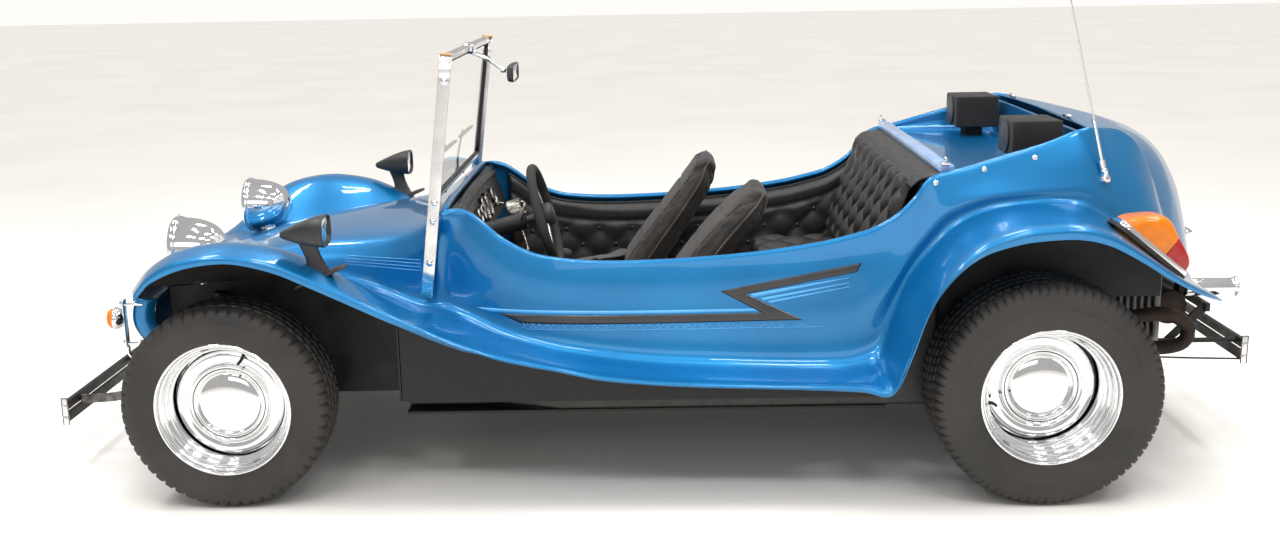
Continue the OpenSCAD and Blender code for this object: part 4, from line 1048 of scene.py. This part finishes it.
ride(grid_object("wheel_hub", [lathe(hub, wheel_at, column, 36)], black_plastic, 0.0001), "hand_wheel",
     "black_plastic")
shift_foot = np.array((0.36, 0.0, 0.352))
levers = [tube([shift_foot, shift_foot + (-0.02, 0, 0.12), shift_foot + (-0.075, 0, 0.24)],
               [0.0065, 0.006, 0.0055]),
          tube([(0.02, 0.0, 0.356), (-0.05, 0, 0.375), (-0.14, 0, 0.42), (-0.2, 0, 0.462)],
               [0.011, 0.010, 0.0095, 0.011])]
boot = lathe(refine([(0.05, 0.0), (0.046, 0.008), (0.034, 0.012), (0.036, 0.022), (0.024, 0.027),
                     (0.025, 0.038), (0.012, 0.045), (0.008, 0.06)], 3),
             shift_foot, (0, 0, 1), 28)
knob = lathe(refine([(0.006, -0.012), (0.018, -0.008), (0.023, 0.006), (0.021, 0.02), (0.012, 0.028),
                     (0, 0.03)], 3), shift_foot + (-0.077, 0, 0.243), (-0.3, 0, 1), 24)
ride(grid_object("lever_rods", levers, chrome, 0.0001), "chassis", "chrome")
ride(grid_object("lever_boot_and_knob", [boot, knob], rubber, 0.0001), "chassis", "black_rubber")
dress("pedals", rubber)

# ---------------------------------------------------------------- seats
# Two high-backed buckets in faded black brushed cloth over foam, sewn with side rolls, and a tufted vinyl
# bench, back and side panels whose buttons pull the padding into diamonds.


def cloth(name, dark, light, threads):
    """Brushed woven cloth: crossed waves for the threads, worn paler in patches, with a soft sheen."""
    made, tree, shader = new_material(name, light, 0.85, sheen_weight=0.12, sheen_roughness=0.5)
    wear = texture(tree, "Noise", 12.0, detail=7.0, roughness=0.7)
    tree.links.new(tones(tree, wear, [(0.35, dark), (0.6, light), (0.8, tuple(c * 2.2 for c in light))]),
                   shader.inputs["Base Color"])
    warp = texture(tree, "Wave", threads, (1, 1, 0.2))
    weft = texture(tree, "Wave", threads, (0.2, 1, 1), bands_direction="Z")
    bumped(tree, shader, [(warp, 0.25, 0.0004), (weft, 0.25, 0.0004), (wear, 0.2, 0.002)])
    return made


seat_cloth = cloth("seat_cloth", (0.007, 0.006, 0.0055), (0.022, 0.0175, 0.0145), 260.0)
seat_edge = cloth("seat_piping", (0.03, 0.024, 0.02), (0.075, 0.06, 0.05), 300.0)


def pad_loft(line, half_width, half_thick, count=44, power=3.4):
    """Closed pad along a side view's (x, z) line: squared ovals of given half-widths and half-thicknesses."""
    spine = refine(np.insert(np.asarray(line, float), 1, 0, axis=1), 5)
    share = np.linspace(0, 1, len(spine))
    wide = np.interp(share, np.linspace(0, 1, len(half_width)), half_width)
    thick = np.interp(share, np.linspace(0, 1, len(half_thick)), half_thick)
    way = np.gradient(spine, axis=0)
    way /= np.linalg.norm(way, axis=1)[:, None]
    normal = np.cross(way, (0, 1, 0))
    swell = np.clip(np.minimum(share, 1 - share) * 14, 0, 1) ** 0.4
    swell[[0, -1]] = 0
    turn = np.linspace(0, 2 * np.pi, count + 1)
    c, s = np.cos(turn), np.sin(turn)
    oval_y = np.sign(c) * np.abs(c) ** (2 / power)
    oval_n = np.sign(s) * np.abs(s) ** (2 / power)
    y = (wide * (0.7 + 0.3 * swell) * np.sign(swell))[:, None] * oval_y
    n = (thick * swell)[:, None] * oval_n
    return spine[:, None] + y[..., None] * (0, 1, 0) + n[..., None] * normal[:, None]


def stuffed(obj, pressure, reach, frames=20):
    """Inflates a closed pad as cloth over foam: remeshed, blown up for some frames and then capped, so that
    no point moves more than `reach` from where it started; the channels are pressed in afterwards."""
    scene = bpy.context.scene
    modifier(obj, "REMESH", mode="VOXEL", voxel_size=0.008)
    bpy.context.view_layer.objects.active = obj
    with bpy.context.temp_override(object=obj, active_object=obj):
        bpy.ops.object.modifier_apply(modifier="Remesh")
    start = np.empty(len(obj.data.vertices) * 3)
    obj.data.vertices.foreach_get("co", start)
    sewn = modifier(obj, "CLOTH")
    settings = sewn.settings
    settings.quality, settings.mass = 4, 0.4
    settings.tension_stiffness = settings.compression_stiffness = 22
    settings.bending_stiffness = 1.2
    settings.use_pressure, settings.uniform_pressure_force = True, pressure
    settings.effector_weights.gravity = 0
    sewn.point_cache.frame_start, sewn.point_cache.frame_end = 1, frames
    for number in range(1, frames + 1):
        scene.frame_set(number)
    blown = obj.evaluated_get(bpy.context.evaluated_depsgraph_get())
    moved = np.empty(len(start))
    blown.data.vertices.foreach_get("co", moved)
    obj.modifiers.remove(sewn)
    scene.frame_set(1)
    start, moved = start.reshape(-1, 3), moved.reshape(-1, 3)
    step = moved - start
    size = np.linalg.norm(step, axis=1)[:, None]
    step *= np.minimum(1, reach / np.maximum(size, 1e-9))
    obj.data.vertices.foreach_set("co", (start + step).ravel())
    obj.data.update()
    return obj


def pressed(obj, depth_of):
    """Moves each point along its normal by -depth_of(points): seams and sewn channels."""
    mesh = obj.data
    spots, normals = np.empty(len(mesh.vertices) * 3), np.empty(len(mesh.vertices) * 3)
    mesh.vertices.foreach_get("co", spots)
    mesh.vertex_normals.foreach_get("vector", normals)
    spots, normals = spots.reshape(-1, 3), normals.reshape(-1, 3)
    mesh.vertices.foreach_set("co", (spots - normals * depth_of(spots)[:, None]).ravel())
    mesh.update()
    return obj


def valley(value, at, width):
    """1 in the middle of a sewn line, falling to 0 over its width."""
    return np.exp(-(((value - at) / width) ** 2))


for name, at, top_at in (("driver_seat", (-0.060, 0.300, 0.372), (-0.330, 0.530)),
                         ("passenger_seat", (0.050, -0.300, 0.372), (-0.300, 0.548))):
    at = np.array(at)
    back_line = [(0.012, 0.075), (-0.02, 0.14), (-0.085, 0.235), (-0.165, 0.345),
                 (top_at[0] * 0.5 - 0.085, top_at[1] * 0.5 + 0.175),
                 (top_at[0] + 0.045, top_at[1] - 0.055), (top_at[0] + 0.022, top_at[1] - 0.016)]
    back_pad = pad_loft(back_line, [0.19, 0.205, 0.203, 0.195, 0.178, 0.15, 0.125],
                        [0.042, 0.05, 0.048, 0.042, 0.036, 0.029, 0.022]) + at
    seat_line = [(-0.035, 0.062), (0.06, 0.060), (0.18, 0.058), (0.30, 0.064), (0.375, 0.066),
                 (0.402, 0.058)]
    base_pad = pad_loft(seat_line, [0.195, 0.205, 0.208, 0.206, 0.2],
                        [0.045, 0.05, 0.052, 0.052, 0.05]) + at
    for part, grid, axis_x in (("back", back_pad, False), ("cushion", base_pad, True)):
        pad_piece = grid_object(f"{name}_{part}", [grid], seat_cloth, 0.002)
        stuffed(pad_piece, 3.0, 0.010)

        def channels(spots, at=at, along_x=axis_x):
            side_way = np.abs(spots[:, 1] - at[1])
            run = spots[:, 0] - at[0] if along_x else spots[:, 2] - at[2]
            facing = 0.006 * valley(side_way, 0.135, 0.007)
            ribs = sum(valley(run, place, 0.006)
                       for place in ((0.05, 0.13, 0.21, 0.29) if along_x else (0.16, 0.25, 0.34, 0.43)))
            return facing + 0.004 * np.clip(ribs, 0, 1) * (side_way < 0.13)

        pressed(pad_piece, channels)
        ride(pad_piece, "chassis", "seat_cloth", *([name] if part == "cushion" else []))
    rows = refine(back_line, 5)
    share = np.linspace(0, 1, len(rows))
    edge_y = np.interp(share, np.linspace(0, 1, 7), [0.19, 0.205, 0.203, 0.195, 0.178, 0.15, 0.125])
    piping = [np.stack([rows[:, 0] + at[0] + 0.004, at[1] + s * (edge_y - 0.002), rows[:, 1] + at[2]],
                       -1)[3:-2] for s in (1, -1)]
    seams = [tube(line, 0.0035, 8, 1) for line in piping]
    ride(grid_object(f"{name}_piping", seams, seat_edge, 0.0001), "chassis", "seat_cloth")
    runners = [rail_grid for s in (-0.15, 0.15) for rail_grid in
               [tube([(at[0] - 0.02, at[1] + s, 0.3), (at[0] - 0.02, at[1] + s, 0.365),
                      (at[0] + 0.3, at[1] + s, 0.365), (at[0] + 0.3, at[1] + s, 0.3)], 0.008)]]
    ride(grid_object(f"{name}_frame", runners, black_paint, 0.0001), "chassis", "black_paint")


def diamond(a, b):
    """Height of a tuft over a diagonal lattice: 0 on the creases, 1 in the middle of a diamond."""
    return np.sqrt(np.abs(np.sin(np.pi * (a + b)) * np.sin(np.pi * (a - b))))


def hem(front, behind):
    """Strip that closes a pad all round, from the front's outline to the back's."""
    return np.stack([np.concatenate([g[0], g[:, -1], g[-1, ::-1], g[::-1, 0]]) for g in (front, behind)])


button = [(0, 0.006), (0.006, 0.0048), (0.009, 0.001), (0.008, -0.003)]


def tufted(u_axis, v_axis, corner_at, outwards, size, tuft, puff, rows=60, cols=120):
    """Button-tufted panel as a closed pad: its height is puff x the root of |sin a x sin b| over a diagonal
    lattice of `tuft` spacing, so the creases run from button to button, and it rolls under at its borders."""
    u, v = np.meshgrid(np.linspace(0, 1, cols), np.linspace(0, 1, rows))
    a, b = u * size[0] / tuft[0], v * size[1] / tuft[1]
    border = np.minimum(np.minimum(u, 1 - u) * size[0], np.minimum(v, 1 - v) * size[1])
    roll_in = np.clip(border / 0.03, 0, 1)
    height = puff * (0.35 + 0.65 * diamond(a, b)) * np.sqrt(1 - (1 - roll_in) ** 2)
    u_axis, v_axis, outwards = (np.asarray(w, float) for w in (u_axis, v_axis, outwards))
    flat = corner_at + u[..., None] * size[0] * u_axis + v[..., None] * size[1] * v_axis
    return flat + height[..., None] * outwards, flat - 0.006 * outwards


def buttons(corner_at, u_axis, v_axis, outwards, size, tuft, lift=0.004):
    """Covered buttons at the lattice's crossings, as small domes."""
    domes = []
    for i in range(1, int(size[0] / tuft[0] * 2)):
        for j in range(1, int(size[1] / tuft[1] * 2)):
            if (i + j) % 2 == 0:
                spot = corner_at + np.array(u_axis) * i * tuft[0] / 2
                spot = spot + np.array(v_axis) * j * tuft[1] / 2 + np.array(outwards) * lift
                domes.append(lathe(button, spot, outwards, 10))
    return domes


soft_vinyl = leather("tufted_vinyl", (0.009, 0.008, 0.0075), (0.024, 0.021, 0.019), 380.0, coat_weight=0.15,
                     coat_roughness=0.3)
PANELS = {
    "bench_back": [((0, 1, 0), (-0.34, 0, 0.94), (-0.672, -0.505, 0.588), (0.94, 0, 0.34), (1.01, 0.36),
                    (0.13, 0.13), 0.030)],
    "bench_cushion": [((0, 1, 0), (-1, 0, 0), (-0.38, -0.475, 0.548), (0, 0, 1), (0.95, 0.385),
                       (0.16, 0.16), 0.028)],
}
for name, panels in PANELS.items():
    grids, domes = [], []
    for u_axis, v_axis, corner_at, outwards, size, tuft, puff in panels:
        v_axis, outwards = (np.array(w) / np.linalg.norm(w) for w in (v_axis, outwards))
        corner_at = np.array(corner_at)
        front, behind = tufted(u_axis, v_axis, corner_at, outwards, size, tuft, puff, 72, 150)
        if name == "bench_cushion":
            behind = behind - outwards * 0.10
        grids += [front, behind, hem(front, behind)]
        domes += buttons(corner_at, u_axis, v_axis, outwards, size, tuft)
    panel = grid_object(f"{name}_tufts", grids, soft_vinyl, 0.0004)
    ride(panel, "chassis", "black_vinyl", name)
    ride(grid_object(f"{name}_buttons", domes, soft_vinyl, 0.0001), "chassis", "black_vinyl")

# the side panels follow the rim from the dash to the rear bar: a smooth band on top, rows of buttons below
panel_y, tuft_size, top_band = 0.568, 0.125, 0.062
lip = rim[(rim[:, 0] < 0.52) & (rim[:, 0] > -0.872)]
lip_r = np.interp(-lip[:, 0], [-0.60, -0.56, 1.28, 1.34], [0.004, 0.011, 0.011, 0.005])
trim_top, trim_foot = lip[:, 2] - 0.024, 0.242
trim_rows = np.linspace(0, 1, 56)[:, None]
trim_z = trim_foot + (trim_top - trim_foot) * trim_rows
run = lip[:, 0] + 0 * trim_rows
lip_y = lip[:, 1] - 2 * lip_r - 0.001
flat_y = np.minimum(lip_y, panel_y)
wall_y = flat_y + (lip_y - flat_y) * np.clip((trim_z - trim_top + 0.02) / 0.02, 0, 1)
below = np.clip((trim_top - top_band - trim_z) / 0.02, 0, 1)
diamonds = diamond(run / tuft_size, (trim_z - 0.40) / tuft_size)
roll_in = np.clip(np.minimum.reduce([run.max() - run, run - run.min(), trim_top - trim_z,
                                     trim_z - trim_foot]) / 0.02, 0, 1)
puff = np.sqrt(1 - (1 - roll_in) ** 2) * (0.010 + 0.012 * diamonds * below + 0.004 * (1 - below))
groove = 0.007 * valley(trim_top - top_band, trim_z, 0.006)
trim = np.stack([run, wall_y - puff + groove * roll_in - 0.0005, trim_z], -1)
trim_back = np.stack([run, wall_y, trim_z], -1)
trims = grid_object("side_panel_tufts", both([trim, trim_back, hem(trim, trim_back)]), soft_vinyl, 0.0002)
ride(trims, "chassis", "black_vinyl", "side_trims")
half_tuft = tuft_size / 2
spots = [(i * half_tuft, 0.40 + j * half_tuft) for i in range(-13, 8) for j in range(7) if (i + j) % 2 == 0]
spots = [(x, z) for x, z in spots if z < np.interp(-x, -lip[:, 0], trim_top) - 0.075]
trim_buttons = []
for x, z in spots:
    y = min(np.interp(-x, -lip[:, 0], lip_y), panel_y) - 0.0115
    trim_buttons.append(lathe(button, (x, y, z), (0, -1, 0), 10))
ride(grid_object("side_panel_buttons", both(trim_buttons), soft_vinyl, 0.0001), "chassis", "black_vinyl")
# black rubber welt along the top of the side trims; its dark line also stands in for the shade under the rolled
# rim, painted shade
welt_and_shadow_line = np.stack([lip[:, 0], lip_y + 0.001, trim_top + 0.001], -1)[::3]
ride(grid_object("rim_welts_and_shade", both([tube(welt_and_shadow_line, 0.005, 8, 1)]), rubber, 0.0001), "chassis", "black_rubber")


def block(low, high, edge, steps=5):
    """Closed block with rounded corners and edges, as stacked rounded outlines."""
    low, high = np.array(low, float), np.array(high, float)
    turn = np.linspace(0, np.pi / 2, steps)
    insets = np.concatenate([[edge], edge * (1 - np.sin(turn)), edge * (1 - np.cos(turn)), [edge]])
    heights = np.concatenate([[low[2]], low[2] + edge * (1 - np.cos(turn)),
                              high[2] - edge * (1 - np.sin(turn)), [high[2]]])
    rows = []
    for inset, height in zip(insets, heights):
        ring = rounded_outline(low[:2] + inset, high[:2] - inset, max(edge * 1.3 - inset, 0.001), 5)
        rows.append(np.stack([ring[:, 0], ring[:, 1], height + 0 * ring[:, 0]], -1))
    rows = np.array(rows)
    middle = rows.mean(1, keepdims=True)
    return np.concatenate([middle[:1] + 0 * rows[:1], rows, middle[-1:] + 0 * rows[-1:]])


# boards close the cabin: footwell sides, toe board, bench riser and the wall behind the bench
pan_top = 0.241
BOARDS = (
    ((0.49, 0.505, pan_top), (0.742, 0.512, 0.47)),
    ((0.49, -0.512, pan_top), (0.742, -0.505, 0.47)),
    ((0.735, -0.47, pan_top), (0.742, 0.47, 0.56)),
    ((-0.402, -0.548, pan_top), (-0.394, 0.548, 0.452)),
    ((-0.815, -0.56, 0.56), (-0.808, 0.56, 0.925)),
)
boards = [block(low, high, 0.0025) for low, high in BOARDS]
ride(grid_object("cabin_boards", boards, black_vinyl, 0.0001), "chassis", "black_vinyl")

webbing, tree, shader = new_material("belt_webbing", (0.03, 0.03, 0.031), 0.7, sheen_weight=0.3)
ribs = texture(tree, "Wave", 110.0, (0.2, 1, 0.2), bands_direction="Y")
twill = texture(tree, "Wave", 240.0, (1, 0.6, 1))
tree.links.new(tones(tree, twill, [(0.2, (0.018, 0.018, 0.019)), (0.8, (0.05, 0.049, 0.048))]),
               shader.inputs["Base Color"])
bumped(tree, shader, [(ribs, 0.4, 0.0006), (twill, 0.3, 0.0004)])


def strap(line, width, side_way=(0, 1, 0), thick=0.0016):
    """Woven strap: a flat ribbon of some width that follows a smooth line, closed all round."""
    path = refine(line, 8)
    way = np.gradient(path, axis=0)
    way /= np.linalg.norm(way, axis=1)[:, None]
    aside = np.asarray(side_way, float) - way * (way @ np.asarray(side_way, float))[:, None]
    aside /= np.linalg.norm(aside, axis=1)[:, None]
    lift = np.cross(way, aside)
    ring = rounded_outline((-width / 2, -thick / 2), (width / 2, thick / 2), thick / 2.01, 3)
    walls = path[:, None] + ring[:, :1] * aside[:, None] + ring[:, 1:] * lift[:, None]
    ends = [np.repeat(path[k][None, None], walls.shape[1], 1) for k in (0, -1)]
    return np.concatenate([ends[0], walls, ends[1]])


belts, buckles = [], []
for at_y, at_x, s in ((0.300, -0.060, 1), (-0.300, 0.050, -1)):
    for k in (1, -1):
        y = at_y + k * 0.17
        belts.append(strap([(at_x - 0.03, at_y + k * 0.225, 0.36), (at_x + 0.02, at_y + k * 0.215, 0.44),
                            (at_x + 0.08, at_y + k * 0.19, 0.492),
                            (at_x + 0.16, at_y + k * 0.13, 0.499), (at_x + 0.24, at_y + k * 0.07, 0.496),
                            (at_x + 0.30, at_y + k * 0.02, 0.498)],
                           0.047, (0.8, 0.5 * k, 0)))
    clip_at = np.array((at_x + 0.17, at_y + 0.13, 0.506))
    ring = rounded_outline((-0.03, -0.02), (0.03, 0.02), 0.008, 5)
    rows = [np.stack([clip_at[0] + ring[:, 0] * a, clip_at[1] + ring[:, 1] * a,
                      clip_at[2] + h + 0 * ring[:, 0]], -1)
            for a, h in ((0, -0.006), (1, -0.006), (1, 0.004), (0.92, 0.008), (0, 0.009))]
    buckles.append(np.array(rows))
belts.append(strap([(0.02, -0.515, 0.36), (0.03, -0.512, 0.47), (0.07, -0.49, 0.515), (0.13, -0.44, 0.507),
                    (0.2, -0.40, 0.505)], 0.047, (1, 0, 0)))
ride(grid_object("belt_straps", belts, webbing, 0.0001), "chassis", "belt_webbing", "seat_belts")
ride(grid_object("belt_buckles", buckles, chrome, 0.0001), "chassis", "chrome")

# ---------------------------------------------------------------- rear deck
# Blue bar across the car behind the bench with a paler painted highlight, two carpet-covered speaker boxes
# on short feet, snap studs for a tonneau and a telescopic whip antenna on the left of the tail.
carpet, tree, shader = new_material("speaker_cloth", (0.018, 0.018, 0.019), 0.95, sheen_weight=0.08)
fuzz = texture(tree, "Noise", 500.0, detail=4.0)
faded = texture(tree, "Noise", 9.0, detail=4.0)
tree.links.new(tones(tree, faded, [(0.3, (0.008, 0.007, 0.006)), (0.7, (0.022, 0.019, 0.016))]),
               shader.inputs["Base Color"])
bumped(tree, shader, [(fuzz, 0.8, 0.0015)])


speaker_low, speaker_high = np.array((-1.242, 0.297, 0.977)), np.array((-1.094, 0.477, 1.085))
boxes = [block(speaker_low, speaker_high, 0.006)]
foot_block = [block((-1.198, 0.347, 0.9405), (-1.138, 0.427, 0.979), 0.003)]
ride(grid_object("speaker_boxes", both(boxes + foot_block), carpet, 0.0001), "chassis", "speaker_cloth",
     "speakers")
grille_ring = refine([(0.048, 0), (0.051, 0.004), (0.048, 0.0065), (0.043, 0.006), (0.02, 0.008),
                      (0, 0.0085)], 3)
ride(grid_object("speaker_grilles", both([lathe(grille_ring, (-1.0942, 0.387, 1.031), (1, 0, 0), 36)]),
                 black_plastic, 0.0001),
     "chassis", "black_plastic")
# the bar is the body's blue gelcoat coloured paler all over: a painted highlight for the light on its top
bar_painted_highlight, tree, shader = new_material("bar_gelcoat_painted_highlight", (0.28, 0.45, 0.72), 0.3, coat_weight=1.0,
                                       coat_roughness=0.04)
tree.links.new(tones(tree, texture(tree, "Noise", 14.0, detail=5.0),
                     [(0.3, (0.16, 0.34, 0.66)), (0.7, (0.33, 0.50, 0.78))]), shader.inputs["Base Color"])
bar = block((-0.906, -0.566, 0.946), (-0.860, 0.566, 0.972), 0.008)
shelf_line = [(-0.776, 0.914), (-0.800, 0.936), (-0.830, 0.944), (-0.872, 0.950), (-0.885, 0.944)]
shelf_top = refine(np.insert(np.array(shelf_line), 1, 0, axis=1), 4)
shelf_y = np.linspace(-0.568, 0.568, 40)
shelf = shelf_top[:, None] + shelf_y[:, None] * np.array((0, 1, 0))
hump = 0.004 * np.sqrt(np.clip(1 - (shelf_y / 0.568) ** 8, 0, 1))
under = shelf - (0, 0, 0.012)
shelf[..., 2] += hump - 0.004
shelf_rim = np.stack([np.concatenate([g[0], g[:, -1], g[-1, ::-1], g[::-1, 0]]) for g in (shelf, under)])
ride(grid_object("bench_shelf", [shelf, under, shelf_rim], soft_vinyl, 0.0001), "chassis", "black_vinyl")
ride(grid_object("cross_bar_moulding", [bar], bar_painted_highlight, 0.0001), "chassis", "blue_gelcoat", "cross_bar")
stud = refine([(0, 0.0075), (0.003, 0.007), (0.0045, 0.005), (0.0042, 0.003), (0.0075, 0.0022),
               (0.0085, 0.0), (0.0085, -0.002)], 2)
studs = []
for x, z in ((-0.843, 0.925), (-0.983, 0.962), (-1.128, 0.994)):
    y = flank_y(np.array([x]), np.array([z]), (0, 3))[0]
    studs.append(lathe(stud, (x, y, z), (0, 0.95, 0.3), 16))
ride(grid_object("tonneau_studs", both(studs), chrome, 0.0001), "chassis", "chrome")
hook = [block((-0.89, 0.556, 0.9725), (-0.862, 0.582, 0.981), 0.0025),
        tube([(-0.876, 0.575, 0.978), (-0.876, 0.583, 0.99), (-0.872, 0.575, 0.997)], 0.003)]
ride(grid_object("bar_end_hooks", both(hook), chrome, 0.0001), "chassis", "chrome")
dress("antenna", chrome)
whip_foot = [lathe(refine([(0.016, -0.006), (0.0165, 0.002), (0.013, 0.008), (0.0105, 0.02), (0.0095, 0.03),
                           (0, 0.034)], 3),
                   (-1.330, 0.606, 0.930), (0.2, 0.25, 0.95), 20),
             lathe([(0.0065, -0.008), (0.0068, 0.0), (0.0055, 0.01), (0.003, 0.014)], (-1.290, 0.606, 1.10),
                   (0.24, 0, 0.97), 16),
             lathe([(0, 0.0), (0.003, -0.001), (0.0042, -0.005), (0.003, -0.009), (0.0015, -0.01)],
                   (-1.1893, 0.606, 1.504), (0.24, 0, 0.97), 12)]
ride(grid_object("antenna_fittings", whip_foot, chrome, 0.0001), "chassis", "chrome")

# ---------------------------------------------------------------- running gear
# Twin-tube front beam, drums and trailing arms in dusty satin black, a flat-four kept as one block with
# its finned covers, a silencer with bent pre-heat pipes and a chrome tail pipe, and two-bar bumpers on
# flat irons.
cast_steel = worn("cast_steel", (0.10, 0.085, 0.075), (0.32, 0.31, 0.30), 30.0, (0.45, 0.75), 0.7, 200.0,
                  0.0006)
engine_alloy = worn("engine_alloy", (0.07, 0.06, 0.05), (0.34, 0.33, 0.32), 9.0, (0.4, 0.7), 0.7, 160.0,
                    0.0008)
exhaust_steel = worn("exhaust_steel", (0.014, 0.010, 0.008), (0.055, 0.037, 0.028), 7.0, (0.5, 0.8), 0.6,
                     220.0, 0.0008)
for name in ("knuckle_left", "knuckle_right", "tie_rod"):
    dress(name, cast_steel)
dress("engine", engine_alloy)
dress("exhaust", exhaust_steel)
for name in ("front_bumper", "rear_bumper"):
    dress(name, black_paint)
    modifier(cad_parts[name], "BEVEL", width=0.0015, segments=2, limit_method="ANGLE", angle_limit=0.6)
drums = []
for wheel, y, r in ((FRONT, 0.572, 0.108), (REAR, 0.560, 0.118)):
    shell = refine([(r * 0.5, -0.004), (r - 0.006, -0.003), (r, 0.003), (r, 0.012), (r + 0.006, 0.014),
                    (r + 0.006, 0.020), (r, 0.022),
                    (r, 0.040), (r - 0.01, 0.050), (r * 0.55, 0.054), (r * 0.5, 0.058), (0, 0.06)], 3)
    drums.append((wheel, lathe(shell, (wheel["x"], y, wheel["r"]), (0, 1, 0), 48)))
tail_chrome = lathe(refine([(0.0255, -0.05), (0.0265, -0.006), (0.030, 0.0), (0.0325, 0.0014),
                            (0.0325, -0.002), (0.0285, -0.012), (0.0285, -0.05), (0.0285, -0.16),
                            (0.0245, -0.165)], 3),
                    (-1.899, 0.22, 0.51), (-1, 0, 0), 40)
ride(grid_object("tail_pipe_chrome", [tail_chrome], chrome, 0.0001), "chassis", "chrome")
loops = []
for s in (1, -1):
    loops.append(tube([(-1.40, s * 0.44, 0.44), (-1.50, s * 0.45, 0.475), (-1.60, s * 0.45, 0.48),
                       (-1.665, s * 0.44, 0.44), (-1.66, s * 0.43, 0.385),
                       (-1.59, s * 0.42, 0.365), (-1.48, s * 0.42, 0.375), (-1.38, s * 0.42, 0.39)],
                      [0.022, 0.022]))
ends = [lathe(refine([(0, 0.012), (0.03, 0.010), (0.05, 0.004), (0.056, -0.004), (0.057, -0.012),
                      (0.0555, -0.014)], 3), (-1.68, s * 0.25, 0.451), (0, s, 0), 40)
        for s in (1, -1)]
clamps = [lathe([(0.0235, -0.008), (0.0255, -0.007), (0.0255, 0.007), (0.0235, 0.008)], (x, s * 0.447, z),
                (1, 0, 0.35), 24)
          for s in (1, -1) for x, z in ((-1.45, 0.458),)]
ride(grid_object("exhaust_loops", loops + ends + clamps, exhaust_steel, 0.0001), "chassis", "exhaust_steel")
fins = []
for s in (1, -1):
    fins += [block((-1.60 + 0.022 * k, s * 0.345 - 0.012, 0.36),
                   (-1.59 + 0.022 * k, s * 0.345 + 0.012, 0.52), 0.002, 3) for k in range(14)]
fins += [block((-1.63, -0.24, 0.40 + 0.03 * k), (-1.618, 0.24, 0.412 + 0.03 * k), 0.003, 3)
         for k in range(7)]
pulley = lathe(refine([(0, 0.026), (0.02, 0.025), (0.022, 0.012), (0.07, 0.010), (0.078, 0.012),
                       (0.082, 0.006), (0.074, 0.0), (0.082, -0.006), (0.078, -0.012), (0.03, -0.012)], 2),
               (-1.632, 0, 0.34), (-1, 0, 0), 44)
ride(grid_object("engine_fins", fins + [pulley], engine_alloy, 0.0001), "chassis", "engine_alloy")
bumper_ends = []
for x, low_z in ((1.887, 0.150), (-1.885, 0.300)):
    for s in (1, -1):
        bumper_ends.append(block((x - 0.0095, s * 0.353 - 0.0035, low_z - 0.012),
                                 (x + 0.0095, s * 0.353 + 0.0035, low_z + 0.080), 0.0025, 4))
        for z in (low_z + 0.014, low_z + 0.054):
            bumper_ends.append(lathe(bolt * (0.7, 0.7), (x, s * 0.3565, z), (0, s, 0), 14))
            bumper_ends.append(lathe(bolt * (0.7, 0.7), (x + math.copysign(0.0075, x), s * 0.235, z),
                                     (math.copysign(1, x), 0, 0), 14))
ride(grid_object("bumper_end_plates", bumper_ends, aluminium, 0.0001), "chassis", "polished_aluminium")
flat_irons = [strap([(1.60, s * 0.33, 0.262), (1.72, s * 0.30, 0.222), (1.80, s * 0.27, 0.204),
                     (1.876, s * 0.25, 0.196)], 0.030, (0, 0, 1), 0.005) for s in (1, -1)]
ride(grid_object("bumper_links", flat_irons, cast_steel, 0.0001), "chassis", "cast_steel")
for name, body_name in (("front_left", "left_knuckle"), ("front_right", "right_knuckle"),
                        ("rear_left", "chassis"), ("rear_right", "chassis")):
    wheel, grid = drums[0] if "front" in name else drums[1]
    grid = grid * mirror_y if "right" in name else grid
    ride(grid_object(f"brake_drum_{name}", [grid], cast_steel, 0.0001), body_name, "cast_steel")
# black underseal on the hidden side of the fenders, a second skin just inside the moulding
underseal = worn("underseal", (0.006, 0.0055, 0.005), (0.016, 0.014, 0.012), 30.0, (0.8, 0.95), grain=90.0,
                 depth=0.002)
half_nose = nose[:, nose.shape[1] // 2:]
fender_cols = half_nose[:, :, 1].max(0) > 0.38
fender = half_nose[:, fender_cols]
inner = grid_object("fender_underseal", [fender[:, ::-1], fender * mirror_y], underseal, outwards=False)
modifier(inner, "DISPLACE", strength=skin + 0.0015, mid_level=0.0)
ride(inner, "chassis", "black_paint")
signal_stays = [block((1.560, 0.444, 0.436), (1.622, 0.460, 0.441), 0.0012),
                block((1.560, 0.444, 0.560), (1.622, 0.460, 0.565), 0.0012),
                tube([(1.6215, 0.452, 0.43), (1.619, 0.45, 0.40), (1.60, 0.43, 0.375),
                      (1.565, 0.40, 0.365)], 0.006)]
ride(grid_object("indicator_stays", both(signal_stays), chrome, 0.0001), "chassis", "chrome")
rod_line = strap([(-1.62, 0.30, 0.300), (-1.75, 0.32, 0.300), (-1.884, 0.345, 0.303)], 0.006, (0, 0, 1),
                 0.005)
ride(grid_object("bumper_stay", both([rod_line]), black_paint, 0.0001), "chassis", "black_paint")
